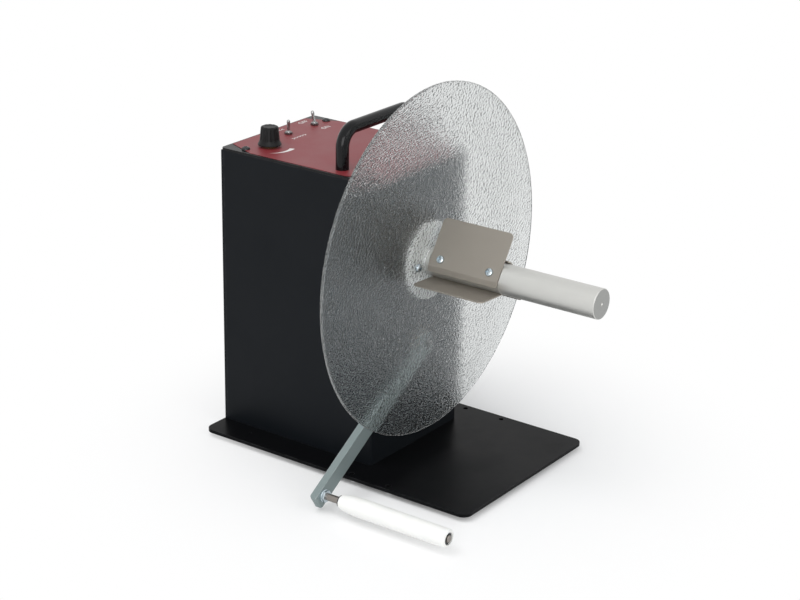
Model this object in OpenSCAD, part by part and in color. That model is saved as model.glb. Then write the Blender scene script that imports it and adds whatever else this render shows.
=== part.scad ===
// Label rewinder: a motor box on a base plate turns a spindle that carries a clear roll flange
// and three sheet fins for paper cores. A swinging tension arm with a loose roller guides the web.
// Millimetres. +X runs along the spindle, away from the box, and +Z is up. The origin lies on the
// table, under the spindle and half way along the whole machine.

/* [Base] */
// Length of the base plate, along the spindle
base_l = 275; // [250:1:330]
// Width of the base plate, across the spindle
base_w = 180; // [160:1:260]
// Thickness of the base plate
base_t = 3; // [2.5:0.5:8]
// Corner radius of the base plate
base_corner_r = 8; // [2:1:20]
// Diameter of a rubber foot
foot_d = 16; // [10:1:22]
// Height of a rubber foot
foot_h = 4; // [3:0.5:10]
// From the middle of a foot to the plate's edges
foot_inset = 16; // [12:1:22]
// Diameter of the four bolt holes in the plate
bolt_hole_d = 4.5; // [3:0.1:7]
// Pitch of the bolt holes along the spindle
bolt_pitch = 38; // [20:1:60]
// From a bolt hole's middle to the plate's long edge
bolt_edge = 6; // [5:0.5:12]
// From the box to the middle of the bolt holes
bolt_reach = 15; // [5:1:40]

/* [Box] */
// Length of the box along the spindle
box_l = 160; // [150:1:190]
// Width of the box
box_w = 125; // [110:1:150]
// From the spindle's axis up to the top of the box
box_rise = 79; // [70:1:120]
// Sheet thickness of the folded shell
shell_t = 2; // [1.5:0.1:3]
// Outer bend radius of the folded shell
bend_r = 3; // [2:0.5:6]
// Width of the flanges folded into the shell
shell_flange_w = 16; // [14:1:20]
// Thickness of the rear cover
cover_t = 3; // [1.5:0.1:4]
// Thickness of the top panel
top_t = 2; // [1.5:0.1:4]
// Thickness of the plate behind the shell's front wall
drive_t = 5; // [3:0.5:8]
// From a top screw to the panel's ends
top_screw_end = 20.5; // [16:0.5:28]
// From a top screw to the panel's sides
top_screw_side = 8; // [7:0.5:10]
// Thickness of the printed control label
label_t = 0.4; // [0.2:0.1:0.8]
// Bare border round the label
label_inset = 1.5; // [1:0.5:5]
// Length of the label's cut corners, along the spindle
label_cut_l = 29; // [26:1:45]
// Width of the label's cut corners
label_cut_w = 12; // [11:1:26]

/* [Handle] */
// Diameter of the carry handle's rod
handle_d = 11; // [8:0.5:16]
// From the panel up to the middle of the handle's bar
handle_rise = 33; // [26:1:60]
// Bend radius of the handle at the middle of its rod
handle_bend_r = 15; // [9:0.5:20]
// From a handle leg's middle to the box's side
handle_side = 14.5; // [9:0.5:20]
// From a handle leg's middle to the box's front
handle_front = 43; // [20:1:70]

/* [Controls] */
// From the speed knob to the rear of the box
knob_rear = 31; // [24:0.5:45]
// From the speed knob to the side of the box
knob_side = 26.5; // [22:0.5:32]
// Height of the knob
knob_h = 16; // [12:0.5:20]
// Diameter of the knob's skirt
knob_skirt_d = 20; // [18:0.5:24]
// Diameter of the knob above its skirt
knob_neck_d = 17; // [15:0.5:18]
// Diameter of the knob's top
knob_top_d = 15; // [12:0.5:16]
// Number of flutes round the knob
knob_flutes = 10; // [6:1:18]
// From the label up to the knob's skirt
knob_lift = 1.6; // [1:0.1:2]
// Diameter of the knob's shaft
pot_shaft_d = 6; // [4:0.05:7]
// From the switches to the rear of the box
switch_rear = 20.5; // [15:0.5:24]
// Middle of the direction switch, across the box
direction_y = 2; // [-5:0.5:10]
// From the power switch to the side of the box
power_side = 24.5; // [18:0.5:30]
// Length of a toggle lever above its bushing
lever_l = 10; // [6:0.5:16]
// Diameter of a toggle lever's tip
lever_tip_d = 3; // [2.4:0.1:4]
// Lean of a thrown toggle lever
lever_lean = 14; // [8:1:16]
// Diameter of a switch's bushing
switch_bush_d = 5; // [5:0.1:8]

/* [Roll flange] */
// Diameter of the clear flange
flange_d = 300; // [280:1:330]
// Thickness of the clear flange
flange_t = 3; // [2:0.5:6]
// From the base plate up to the clear flange
flange_floor = 19; // [10:1:40]
// Gap between the tension arm and the clear flange
flange_arm_gap = 3; // [2:0.5:8]
// Diameter of the hub behind the clear flange
hub_d = 66; // [60:1:80]
// Thickness of the hub's disc
hub_t = 6; // [4:0.5:7]
// Diameter of the hub's boss
hub_boss_d = 40; // [36:1:46]
// Running gap between the hub's boss and the box
hub_gap = 3.5; // [2:0.5:5]
// Pitch circle of the flange screws
flange_screw_pcd = 45; // [42:0.5:50]

/* [Spindle] */
// Diameter of the spindle
shaft_d = 25.4; // [24:0.1:30]
// Length of the spindle past the clear flange
shaft_out = 161; // [130:1:220]
// Chamfer at the spindle's end
shaft_chamfer = 0.8; // [0.2:0.1:2]
// Diameter of the journal in the bearings
journal_d = 20; // [15:0.5:22]
// Outer diameter of a ball bearing
bearing_d = 42; // [40:1:47]
// Width of a ball bearing
bearing_w = 12; // [8:1:14]
// Width and height of the bearing block
block_w = 68; // [64:1:76]
// Length of the bearing block
block_l = 44; // [36:1:50]
// Diameter of the shaft ends in the coupling
tail_d = 12; // [8:0.5:14]
// Diameter of the shaft coupling
coupling_d = 30; // [24:1:36]
// Length of the shaft coupling
coupling_l = 28; // [22:1:30]
// Diameter of the gearbox
gearbox_d = 58; // [52:1:64]
// Length of the gearbox
gearbox_l = 26; // [20:1:30]
// Diameter of the motor
motor_d = 50; // [40:1:54]
// Thickness of the motor bracket
bracket_t = 4; // [3:0.5:6]

/* [Core fins] */
// Length of a fin along the spindle
fin_l = 68; // [50:1:90]
// From the clear flange to the fins
fin_gap = 3.5; // [2:0.5:12]
// Radius of the circle through the fin tips
fin_tip_r = 37.6; // [30:0.1:42]
// Sheet thickness of a fin
fin_t = 1.2; // [0.8:0.1:2]
// Length of a fin's bent lip
fin_lip_l = 4.5; // [4:0.5:9]
// Bend of a fin's lip
fin_lip_bend = 26; // [15:1:26]
// Corner radius at a fin's tip
fin_corner_r = 4; // [2:0.5:10]
// Depth of the flats that the fins are screwed to
flat_depth = 1.6; // [1.6:0.1:2.4]
// From a fin's ends to its screws
fin_screw_end = 10; // [7:0.5:16]
// Turn of the first fin about the spindle, from +Y towards +Z
fin_turn = 57; // [0:1:119]

/* [Tension arm] */
// Width of the arm
arm_w = 14; // [13:0.5:20]
// Thickness of the arm
arm_t = 6.5; // [4:0.5:9]
// Gap between the box and the arm
arm_gap = 4; // [3.5:0.5:8]
// How far the arm reaches past the clear flange's radius
arm_reach = 15; // [12:1:30]
// From the spindle's axis down to the arm's pivot
pivot_drop = 75; // [66:1:85]
// Diameter of the arm's pivot shaft
pivot_d = 10; // [7:0.1:11]
// Outer diameter of the pivot bush
bush_d = 14; // [13:0.5:17]
// Clearance of the roller pin to the clear flange at the upper stop
rim_clear = 10; // [8:0.5:20]
// Radius at which the stop lever meets its stop pins
stop_r = 26; // [22:0.5:30]
// Width of the stop lever
stop_lever_w = 10; // [8:0.5:13]
// Diameter of a stop pin
stop_pin_d = 6; // [4:0.5:8]

/* [Tension roller] */
// Largest diameter of the roller
roller_d = 16; // [15:0.1:24]
// Diameter of the roller's narrow inner end
roller_inner_d = 10; // [9.8:0.1:13]
// Diameter at the rim of the roller's outer end
roller_outer_d = 15.6; // [15.4:0.1:17]
// Length of the roller
roller_l = 105; // [80:1:140]
// Length of the roller's rounded inner end
roller_nose_l = 24; // [16:1:60]
// From the table up to the roller at rest
roller_floor = 5; // [1:0.5:8]
// From the arm to the roller
roller_stand = 17.5; // [12:0.5:30]
// Diameter of the roller's pin
pin_d = 6; // [5:0.1:7]

/* [Screws and fits] */
// Diameter of the box and fin screws
screw_d = 4; // [3:0.1:4.5]
// Head diameter of the box and fin screws
screw_head_d = 7; // [6.6:0.1:8]
// Head height of the box and fin screws
screw_head_h = 2.4; // [1.8:0.1:3]
// Diameter of the bearing block's screws
block_screw_d = 6; // [4:0.5:7]
// Clearance round a fixed screw, pin or ring
fixed_gap = 0.1; // [0.05:0.05:0.2]
// Running clearance round a turning shaft
running_gap = 0.05; // [0.03:0.01:0.08]
// Gap left between moving faces
moving_gap = 0.3; // [0.2:0.05:0.5]

/* [Hidden] */
$fn = 64;
eps = 0.5;

// Levels and faces of the box
inlet_flange_t = 1.6;
base_top = foot_h + base_t;
spindle_z = base_top + flange_floor + flange_d / 2;
box_top = spindle_z + box_rise;
wall_top = box_top - top_t;
label_top = box_top + label_t;
wall_h = wall_top - base_top;
wall_mid = base_top + wall_h / 2;
rear_proud = max(screw_head_h, inlet_flange_t);
overall_l = rear_proud + box_l + arm_gap + arm_t + flange_arm_gap + flange_t + shaft_out;
box_left = rear_proud - overall_l / 2;
box_right = box_left + box_l;
box_mid = box_left + box_l / 2;
base_x = box_left + base_l / 2;
cover_in = box_left + cover_t;
wall_in = box_right - shell_t;
plate_in = wall_in - drive_t;
side_in = box_w / 2 - shell_t;

// Screws of the box
screw_hole_d = screw_d + 2 * fixed_gap;
screw_past = 3;
csk_head_d = 2 * screw_d;
csk_head_h = 2.2;
base_screw_in = 5;
base_screw_l = base_t + base_screw_in;
bolt_x = box_right + bolt_reach;
bolt_y = base_w / 2 - bolt_edge;
flange_mid_y = box_w / 2 - top_screw_side;
shell_screw_end = 42;
shell_screws = [for (x = [box_left + shell_screw_end, box_right - shell_screw_end], s = [-1, 1])
    [x, s * flange_mid_y]];
top_screws = [for (x = [box_left + top_screw_end, box_right - top_screw_end], s = [-1, 1])
    [x, s * flange_mid_y]];
cover_screw_end = 24;
cover_screw_rows = [base_top + cover_screw_end, wall_mid, wall_top - cover_screw_end];
cover_screws = [for (z = cover_screw_rows, s = [-1, 1]) [s * flange_mid_y, z]];

// Controls on the top panel
knob_x = box_left + knob_rear;
knob_y = -(box_w / 2 - knob_side);
switch_x = box_left + switch_rear;
power_y = box_w / 2 - power_side;
switch_points = [[switch_x, direction_y], [switch_x, power_y]];
pot_body_d = 16;
pot_body_h = 11;
pot_tab = [8, 14, 1.6];
pot_bore_in = 6;
pot_bore_z = wall_top - pot_bore_in;
pot_bush_wall = 0.7;
pot_bush_d = pot_shaft_d + 2 * pot_bush_wall;
pot_bush_rise = 4.4;
pot_nut_wall = 1.7;
pot_nut_af = pot_bush_d + 2 * pot_nut_wall;
nut_h = 2;
knob_z = label_top + knob_lift;
knob_skirt_h = 4.2;
knob_rim_h = 1;
knob_edge = 1.2;
knob_cap = 3;
switch_bush_rise = 2.6;
lever_d = 2.4;
lever_pivot_rise = 2;
lever_z = box_top + lever_pivot_rise;
switch_bush_wall = 0.4;
switch_nut_wall = 0.6;
lever_bore_d = switch_bush_d - 2 * switch_bush_wall;
lever_tail = 3;
lever_pin_d = 1.2;
switch_body = [13, 8, 10];
switch_tag = [1.6, 3, 4];
switch_tag_pitch = 4;
handle_x = box_right - handle_front;
handle_y = box_w / 2 - handle_side;
handle_screw_d = 5;
handle_screw_head_d = 9;
handle_screw_head_h = 3;
handle_hole_d = handle_screw_d + 2 * fixed_gap;
handle_screw_in = 12;
handle_screw_spare = 1;
handle_screw_l = top_t + handle_screw_in - handle_screw_spare;

// Power inlet in the rear cover
inlet_y = -box_w / 4;
inlet_rise = 32;
inlet_z = base_top + inlet_rise;
inlet_thread_d = 11;
inlet_flange_d = 14;
inlet_l = 16;
inlet_face = box_left - inlet_flange_t;
inlet_pin_in = 1;
inlet_nut_t = 3;
inlet_bore_d = 6.4;
inlet_pin_d = 2.1;
inlet_depth = 9.5;

// Spindle, from the hub back to the motor
flange_x0 = box_right + arm_gap + arm_t + flange_arm_gap;
flange_x1 = flange_x0 + flange_t;
hub_x0 = flange_x0 - hub_t;
shaft_x0 = box_right + hub_gap;
shaft_x1 = flange_x1 + shaft_out;
shoulder_step = 2;
shoulder_d = journal_d + 2 * shoulder_step;
wall_hole_gap = 2;
wall_hole_d = shoulder_d + 2 * wall_hole_gap;
block_x0 = plate_in - block_l;
ring_wall = (bearing_d - journal_d) * 0.13;
ball_d = (bearing_d - journal_d) / 2 - 2 * ring_wall - 2 * running_gap;
ball_count = 9;
bearing_x = [block_x0, plate_in - bearing_w];
bearing_stop_w = 3;
bearing_stop_d = bearing_d - 2 * bearing_stop_w;
block_corner_r = 6;
block_screw_edge = 8;
block_screw_at = block_w / 2 - block_screw_edge;
block_screws = [for (sy = [-1, 1], sz = [-1, 1]) [sy * block_screw_at, spindle_z + sz * block_screw_at]];
block_screw_in = 14;
block_head_d = 1.7 * block_screw_d;
block_head_gap = 0.5;
block_head_h = min(block_screw_d / 2, hub_gap - block_head_gap);
block_hole_d = block_screw_d + 2 * fixed_gap;
tail_step_l = 4;
tail_x1 = block_x0 - tail_step_l;
coupling_gap = 1;
coupling_x1 = tail_x1 - coupling_gap;
coupling_x0 = coupling_x1 - coupling_l;
coupling_grip = 12;
tail_x0 = coupling_x1 - coupling_grip;
coupling_groove = [2, 2];
bracket_gap = 4;
bracket_x1 = coupling_x0 - bracket_gap;
bracket_x0 = bracket_x1 - bracket_t;
gearbox_x0 = bracket_x0 - gearbox_l;
gearbox_end_t = 4;
motor_end_gap = 4;
motor_x0 = cover_in + motor_end_gap;
motor_cap_d = 20;
motor_cap_t = 3;
gearbox_boss_d = 32;
motor_screw_r = (gearbox_boss_d + gearbox_d) / 4;
motor_screw_in = 8;
motor_screws_at = [for (a = [45 : 90 : 315]) [motor_screw_r * cos(a), spindle_z + motor_screw_r * sin(a)]];
bracket_edge = 8;
bracket_w = gearbox_d + 2 * bracket_edge;
bracket_foot = 26;
bracket_rise = 4;
bracket_h = spindle_z + gearbox_d / 2 + bracket_rise - base_top;
bracket_screws = [for (s = [-1, 1]) [bracket_x1 + bracket_foot - bracket_edge, s * bracket_w / 3]];

// Circuit board on the base plate
board_l = 42;
board_side_gap = 2;
board_w = box_w - 2 * (shell_t + shell_flange_w + board_side_gap);
board_t = 1.6;
board_rear_gap = 10;
board_x0 = cover_in + board_rear_gap;
standoff_h = 10;
standoff_d = 8;
standoff_in = 6;
peg_d = 3;
peg_rise = 2;
board_z = base_top + standoff_h;
standoffs = [for (x = [board_x0 + standoff_in, board_x0 + board_l - standoff_in], s = [-1, 1])
    [x, s * (board_w / 2 - standoff_in)]];
sink = [15.6, 14, 22];
sink_y = -30;
sink_fin_t = 3;
capacitor_d = 12;
capacitor_h = 20;
capacitor_y = [0, 14];
terminal = [20, 9, 10];
terminal_y = 26;
base_screws_at = concat(shell_screws, bracket_screws, standoffs);

// Core fins and the centre hole at the spindle's end
fin_count = 3;
centre_d = 3.2;
centre_drill_d = 1.2;
centre_in = 1.8;
centre_drill_in = 4;
shaft_r = shaft_d / 2;
flat_n = shaft_r - flat_depth;
flat_half = sqrt(pow(shaft_r, 2) - pow(flat_n, 2));
fin_x0 = flange_x1 + fin_gap;
fin_x1 = fin_x0 + fin_l;
groove_gap = 0.2;
groove_x0 = fin_x1 + groove_gap;
groove_w = 1;
groove_in = 0.3;
fin_face = flat_n + fin_t;
fin_tip = sqrt(pow(fin_tip_r, 2) - pow(fin_face, 2));
fin_screw_x = [fin_x0 + fin_screw_end, fin_x1 - fin_screw_end];
fin_screw_l = 6;
fin_angles = [for (i = [0 : fin_count - 1]) fin_turn + 360 * i / fin_count];
fin_bend_steps = 6;
fin_lip_r = 2.5;
flange_screw_r = flange_screw_pcd / 2;
flange_screws_at = [for (a = [180, 300, 60]) [flange_screw_r * cos(a), spindle_z + flange_screw_r * sin(a)]];

// Tension arm: it rests at its lower stop and lifts until the pin nears the clear flange's rim
arm_x0 = box_right + arm_gap;
arm_x1 = arm_x0 + arm_t;
arm_l = flange_d / 2 + arm_reach;
arm_end = 9.5;
arm_corner_r = 3;
pivot_z = spindle_z - pivot_drop;
pin_z = roller_floor + roller_d / 2;
arm_rest = asin((pivot_z - pin_z) / arm_l);
pin_y = -arm_l * cos(arm_rest);
arm_top = acos((pow(pivot_drop, 2) + pow(arm_l, 2) - pow(flange_d / 2 + rim_clear, 2))
    / (2 * pivot_drop * arm_l));
arm_travel = 90 + arm_rest - arm_top;
bush_flange_w = 4;
bush_flange_d = bush_d + 2 * bush_flange_w;
bush_flange_t = 2;
bush_nut_t = 4;
bush_in = 9;
bush_x0 = plate_in - bush_in;
bush_hole_d = bush_d + 2 * fixed_gap;
sensor_t = 2;
sensor_edge = 4.5;
sensor_w = bush_d + 2 * sensor_edge;
sensor_reach = 28;
sensor_x1 = plate_in - sensor_reach;
sensor_d = 22;
sensor_l = 14;
sensor_end_t = 2;
sensor_shaft_x0 = sensor_x1 - sensor_l + sensor_end_t;
pivot_step_x = sensor_x1 + sensor_t + moving_gap;
sensor_web_drop = 16;
sensor_web_y = -bush_d / 2 - sensor_web_drop;
sensor_top_rise = 5;
sensor_top_y = bush_d / 2 + sensor_top_rise;
pivot_step = 2;
sensor_shaft_d = pivot_d - 2 * pivot_step;
stop_hub_wall = 5;
stop_hub_d = pivot_d + 2 * stop_hub_wall;
stop_stand = 8;
stop_x0 = sensor_x1 + stop_stand;
stop_x1 = bush_x0 - moving_gap;
stop_clear = asin((stop_lever_w / 2 + stop_pin_d / 2 + moving_gap) / stop_r);
stop_points = [for (a = [stop_clear, -arm_travel - stop_clear]) [stop_r * cos(a), pivot_z + stop_r * sin(a)]];

// Tension roller
roller_x0 = arm_x1 + roller_stand;
roller_x1 = roller_x0 + roller_l;
pin_nut_wall = 1.7;
pin_nut_af = pin_d + 2 * pin_nut_wall;
pin_nut_t = 3.4;
pin_flange_w = 2.4;
pin_flange_d = pin_d + 2 * pin_flange_w;
pin_flange_t = 1;
pin_past_roller = 0.4;
pin_hole_d = pin_d + 2 * fixed_gap;
roller_bush_wall = 1.3;
roller_bush_d = pin_d + 2 * roller_bush_wall;
roller_bush_l = 12;
roller_bore_gap = 0.5;
roller_bore_d = pin_d + 2 * roller_bore_gap;
roller_mouth_gap = 2.2;
roller_mouth_d = pin_d + 2 * roller_mouth_gap;
roller_mouth = 2.4;
clip_w = 1.9;
clip_d = pin_d + 2 * clip_w;
clip_t = 0.8;
clip_groove = 0.5;
clip_x = [roller_x0 - moving_gap - clip_t, roller_x1 - roller_mouth + moving_gap];
roller_bush_x = [roller_x0, roller_x1 - roller_mouth - roller_bush_l];
roller_nose_steps = 12;
roller_edge_r = 2.4;
roller_edge_steps = 5;

// Shared shapes

// Rectangle with round corners, about the origin
module round_rect(l, w, r) {
    square([l - 2 * r, w], center = true);
    square([l, w - 2 * r], center = true);
    for (sx = [-1, 1], sy = [-1, 1])
        translate([sx * (l / 2 - r), sy * (w / 2 - r)]) circle(r);
}

// Solid whose outline is drawn in Y and Z and that runs along X
module along_x(x0, x1) {
    translate([x0, 0, 0]) rotate([90, 0, 90]) linear_extrude(x1 - x0) children();
}

// Round bar along X, with its axis at y, z
module bar_x(x0, x1, d, y, z) {
    along_x(x0, x1) translate([y, z]) circle(d = d);
}

// Tube along X, with its axis at y, z
module tube_x(x0, x1, d_out, d_in, y, z) {
    along_x(x0, x1) translate([y, z]) difference() {
        circle(d = d_out);
        circle(d = d_in);
    }
}

// Solid of revolution about an axis along X: its outline has the radius first, then x
module turned_x(y, z) {
    translate([0, y, z]) rotate([0, 90, 0]) rotate_extrude() children();
}

// Screw that points down from z = 0, with a domed head above and a cross recess
module pan_screw(d, head_d, head_h, l) {
    dome_r = (pow(head_d / 2, 2) + pow(head_h, 2)) / (2 * head_h) + head_h;
    slot_l = 0.54 * head_d;
    slot_w = 0.12 * head_d;
    slot_z = 0.45 * head_h;
    difference() {
        intersection() {
            cylinder(d = head_d, h = head_h);
            translate([0, 0, head_h - dome_r]) sphere(dome_r, $fn = 96);
        }
        for (a = [0, 90])
            rotate(a) translate([-slot_l / 2, -slot_w / 2, slot_z]) cube([slot_l, slot_w, head_h]);
    }
    translate([0, 0, -l]) cylinder(d = d, h = l + slot_z / 2);
}

// Countersunk screw that points up from z = 0, grown by gap all round
module csk_screw(gap, l) {
    cylinder(d1 = csk_head_d + 2 * gap, d2 = screw_d + 2 * gap, h = csk_head_h);
    cylinder(d = screw_d + 2 * gap, h = l);
}

// Hexagon nut about the origin, standing on z = 0
module hex_nut(af, bore_d, h) {
    difference() {
        cylinder(d = af / cos(30), h = h, $fn = 6);
        translate([0, 0, -eps]) cylinder(d = bore_d, h = h + 2 * eps);
    }
}

// Hexagon nut along X
module hex_nut_x(x0, af, bore_d, h, y, z) {
    translate([x0, y, z]) rotate([0, 90, 0]) hex_nut(af, bore_d, h);
}

// Base and box

module base_plate() {
    color("#1c1d20") difference() {
        translate([base_x, 0, foot_h]) linear_extrude(base_t) round_rect(base_l, base_w, base_corner_r);
        for (sx = [-1, 1], sy = [-1, 1])
            translate([bolt_x + sx * bolt_pitch / 2, sy * bolt_y, foot_h - eps])
                cylinder(d = bolt_hole_d, h = base_t + 2 * eps);
        for (p = base_screws_at)
            translate([p.x, p.y, foot_h]) csk_screw(fixed_gap, base_screw_l);
    }
}

module rubber_feet() {
    color("#2b2b2b")
        for (sx = [-1, 1], sy = [-1, 1])
            translate([base_x + sx * (base_l / 2 - foot_inset), sy * (base_w / 2 - foot_inset), 0])
                cylinder(d1 = foot_d - 2, d2 = foot_d, h = foot_h);
}

module base_screws() {
    color("#9aa0a6")
        for (p = base_screws_at)
            translate([p.x, p.y, foot_h]) csk_screw(0, base_screw_l);
}

// Plan of the folded shell, drawn in by inset, open towards the rear cover
module shell_plan(inset) {
    r = max(bend_r - inset, 0.5);
    x0 = cover_in - inset;
    l = box_right - inset - x0;
    w = box_w - 2 * inset;
    translate([x0, -w / 2]) square([l - r, w]);
    translate([x0, r - w / 2]) square([l, w - 2 * r]);
    for (s = [-1, 1])
        translate([x0 + l - r, s * (w / 2 - r)]) circle(r);
}

// Flange folded in from a side wall of the shell
module shell_flange(x1, z0, z1, side) {
    y0 = side > 0 ? side_in - shell_flange_w : -side_in - eps;
    translate([cover_in, y0, z0]) cube([x1 - cover_in, shell_flange_w + eps, z1 - z0]);
}

// Holes that the front wall and the drive plate share, for spindle, bush and block screws
module front_holes(x0, x1) {
    bar_x(x0 - eps, x1 + eps, wall_hole_d, 0, spindle_z);
    bar_x(x0 - eps, x1 + eps, bush_hole_d, 0, pivot_z);
    for (p = block_screws)
        bar_x(x0 - eps, x1 + eps, block_hole_d, p.x, p.y);
}

module housing_shell() {
    color("#1f2327") difference() {
        union() {
            translate([0, 0, base_top]) linear_extrude(wall_h) difference() {
                shell_plan(0);
                shell_plan(shell_t);
            }
            for (side = [-1, 1]) {
                shell_flange(plate_in - 1, base_top, base_top + shell_t, side);
                shell_flange(plate_in - 1, wall_top - shell_t, wall_top, side);
                shell_flange(cover_in + shell_t, base_top, wall_top, side);
            }
        }
        front_holes(wall_in, box_right);
        for (p = shell_screws)
            translate([p.x, p.y, base_top - eps]) cylinder(d = screw_hole_d, h = shell_t + 2 * eps);
        for (p = top_screws)
            translate([p.x, p.y, wall_top - shell_t - eps]) cylinder(d = screw_hole_d, h = shell_t + 2 * eps);
        for (s = [-1, 1])
            translate([handle_x, s * handle_y, wall_top - shell_t - eps])
                cylinder(d = handle_screw_head_d + 2, h = shell_t + 2 * eps);
        for (p = cover_screws)
            bar_x(cover_in - eps, cover_in + shell_t + eps, screw_hole_d, p.x, p.y);
    }
}

module rear_cover() {
    color("#1f2327") difference() {
        along_x(box_left, cover_in) translate([0, wall_mid]) square([box_w, wall_h], center = true);
        for (p = cover_screws)
            bar_x(box_left - eps, cover_in + eps, screw_hole_d, p.x, p.y);
        bar_x(box_left - eps, cover_in + eps, inlet_thread_d + 2 * fixed_gap, inlet_y, inlet_z);
    }
}

module rear_cover_screws() {
    color("#26282b")
        for (p = cover_screws)
            translate([box_left, p.x, p.y]) rotate([0, -90, 0])
                pan_screw(screw_d, screw_head_d, screw_head_h, cover_t + shell_t + screw_past);
}

// Thick plate behind the front wall, rounded to fit the shell's bends
module drive_plate() {
    color("#8f9499") difference() {
        translate([fixed_gap, 0, base_top]) linear_extrude(wall_h) intersection() {
            shell_plan(shell_t + fixed_gap);
            translate([plate_in - fixed_gap, -box_w / 2]) square([drive_t, box_w]);
        }
        front_holes(plate_in, wall_in);
        for (p = stop_points)
            bar_x(plate_in - eps, wall_in + eps, stop_pin_d + 2 * fixed_gap, p.x, p.y);
    }
}

// Holes through the top panel and its label, for the screws, the handle's legs and the controls
module panel_holes(z0, h, screw_clear_d, leg_clear_d) {
    for (p = top_screws)
        translate([p.x, p.y, z0]) cylinder(d = screw_clear_d, h = h);
    for (s = [-1, 1])
        translate([handle_x, s * handle_y, z0]) cylinder(d = leg_clear_d, h = h);
    for (p = switch_points)
        translate([p.x, p.y, z0]) cylinder(d = switch_bush_d + 2 * fixed_gap, h = h);
    translate([knob_x, knob_y, z0]) cylinder(d = pot_bush_d + 2 * fixed_gap, h = h);
}

module top_panel() {
    color("#1f2327") difference() {
        translate([box_mid, 0, wall_top]) linear_extrude(top_t) round_rect(box_l, box_w, bend_r);
        panel_holes(wall_top - eps, top_t + 2 * eps, screw_hole_d, handle_hole_d);
    }
}

// Printed overlay with its four corners cut off round the screws
module control_label() {
    l = box_l / 2 - label_inset;
    w = box_w / 2 - label_inset;
    cut_l = l - label_cut_l;
    cut_w = w - label_cut_w;
    color("#7a1622") difference() {
        translate([box_mid, 0, box_top]) linear_extrude(label_t)
            polygon([[cut_l, -w], [l, -cut_w], [l, cut_w], [cut_l, w],
                [-cut_l, w], [-l, cut_w], [-l, -cut_w], [-cut_l, -w]]);
        panel_holes(box_top - eps, label_t + 2 * eps, screw_head_d + 2 * fixed_gap, handle_d + 2 * fixed_gap);
    }
}

module top_panel_screws() {
    color("#26282b")
        for (p = top_screws)
            translate([p.x, p.y, box_top])
                pan_screw(screw_d, screw_head_d, screw_head_h, top_t + shell_t + screw_past);
}

// Round rod bent into a bridge, with a blind screw hole in the foot of each leg
module carry_handle() {
    leg = handle_rise - handle_bend_r;
    bar = 2 * (handle_y - handle_bend_r);
    color("#131416") difference() {
        union() {
            translate([handle_x, -bar / 2, box_top + handle_rise]) rotate([-90, 0, 0])
                cylinder(d = handle_d, h = bar);
            for (turn = [0, 180])
                translate([handle_x, 0, box_top]) rotate(turn) {
                    translate([0, handle_y, 0]) cylinder(d = handle_d, h = leg);
                    translate([0, handle_y - handle_bend_r, leg]) rotate([90, 0, 90])
                        rotate_extrude(angle = 90) translate([handle_bend_r, 0]) circle(d = handle_d);
                }
        }
        for (s = [-1, 1])
            translate([handle_x, s * handle_y, box_top - eps])
                cylinder(d = handle_hole_d, h = handle_screw_in + 2 * eps);
    }
}

module handle_screws() {
    color("#9aa0a6")
        for (s = [-1, 1])
            translate([handle_x, s * handle_y, wall_top]) rotate([180, 0, 0])
                pan_screw(handle_screw_d, handle_screw_head_d, handle_screw_head_h, handle_screw_l);
}

// Controls

module speed_pot() {
    color("#6c6f70") translate([knob_x, knob_y, 0]) difference() {
        union() {
            translate([0, 0, wall_top - pot_body_h]) cylinder(d = pot_body_d, h = pot_body_h);
            translate([-pot_tab.x / 2, -pot_tab.y, wall_top - pot_body_h + 1]) cube(pot_tab);
            translate([0, 0, wall_top - eps])
                cylinder(d = pot_bush_d, h = eps + top_t + label_t + pot_bush_rise);
        }
        translate([0, 0, pot_bore_z]) cylinder(d = pot_shaft_d + 2 * running_gap, h = 2 * knob_h);
    }
}

module pot_nut() {
    color("#b59a52") translate([knob_x, knob_y, label_top])
        hex_nut(pot_nut_af, pot_bush_d + 2 * fixed_gap, nut_h);
}

// Miniature toggle switch under the panel, with a hollow bushing for the lever
module switch_body_at(y) {
    translate([switch_x, y, 0]) difference() {
        union() {
            translate([-switch_body.x / 2, -switch_body.y / 2, wall_top - switch_body.z]) cube(switch_body);
            for (i = [-1 : 1])
                translate([i * switch_tag_pitch, 0, wall_top - switch_body.z - switch_tag.z / 2 + eps])
                    cube(switch_tag, center = true);
            translate([0, 0, wall_top - eps])
                cylinder(d = switch_bush_d, h = eps + top_t + label_t + switch_bush_rise);
        }
        translate([0, 0, lever_z - lever_tail - 2]) cylinder(d = lever_bore_d, h = 2 * switch_body.z);
    }
}

module direction_switch() {
    color("#a9adb1") switch_body_at(direction_y);
}

module power_switch() {
    color("#a9adb1") switch_body_at(power_y);
}

module switch_nuts() {
    color("#b9bcbf")
        for (p = switch_points)
            translate([p.x, p.y, label_top]) hex_nut(switch_bush_d + 2 * switch_nut_wall, switch_bush_d + 2 * fixed_gap, nut_h);
}

// Bat lever on a ball with a cross pin, leaning towards +X by lean
module toggle_lever(y, lean) {
    tip = label_top + switch_bush_rise + lever_l - lever_z - lever_tip_d / 2;
    translate([switch_x, y, lever_z]) rotate([0, lean, 0]) {
        translate([0, 0, -lever_tail]) cylinder(d = 0.8 * lever_d, h = lever_tail + 1);
        sphere(d = lever_bore_d - 2 * moving_gap);
        rotate([90, 0, 0]) cylinder(d = lever_pin_d, h = lever_bore_d - moving_gap, center = true);
        cylinder(d1 = lever_d, d2 = lever_tip_d, h = tip);
        translate([0, 0, tip]) sphere(d = lever_tip_d);
    }
}

module direction_lever() {
    color("#d5d8da") toggle_lever(direction_y, 0);
}

module power_lever() {
    color("#d5d8da") toggle_lever(power_y, -lever_lean);
}

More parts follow.
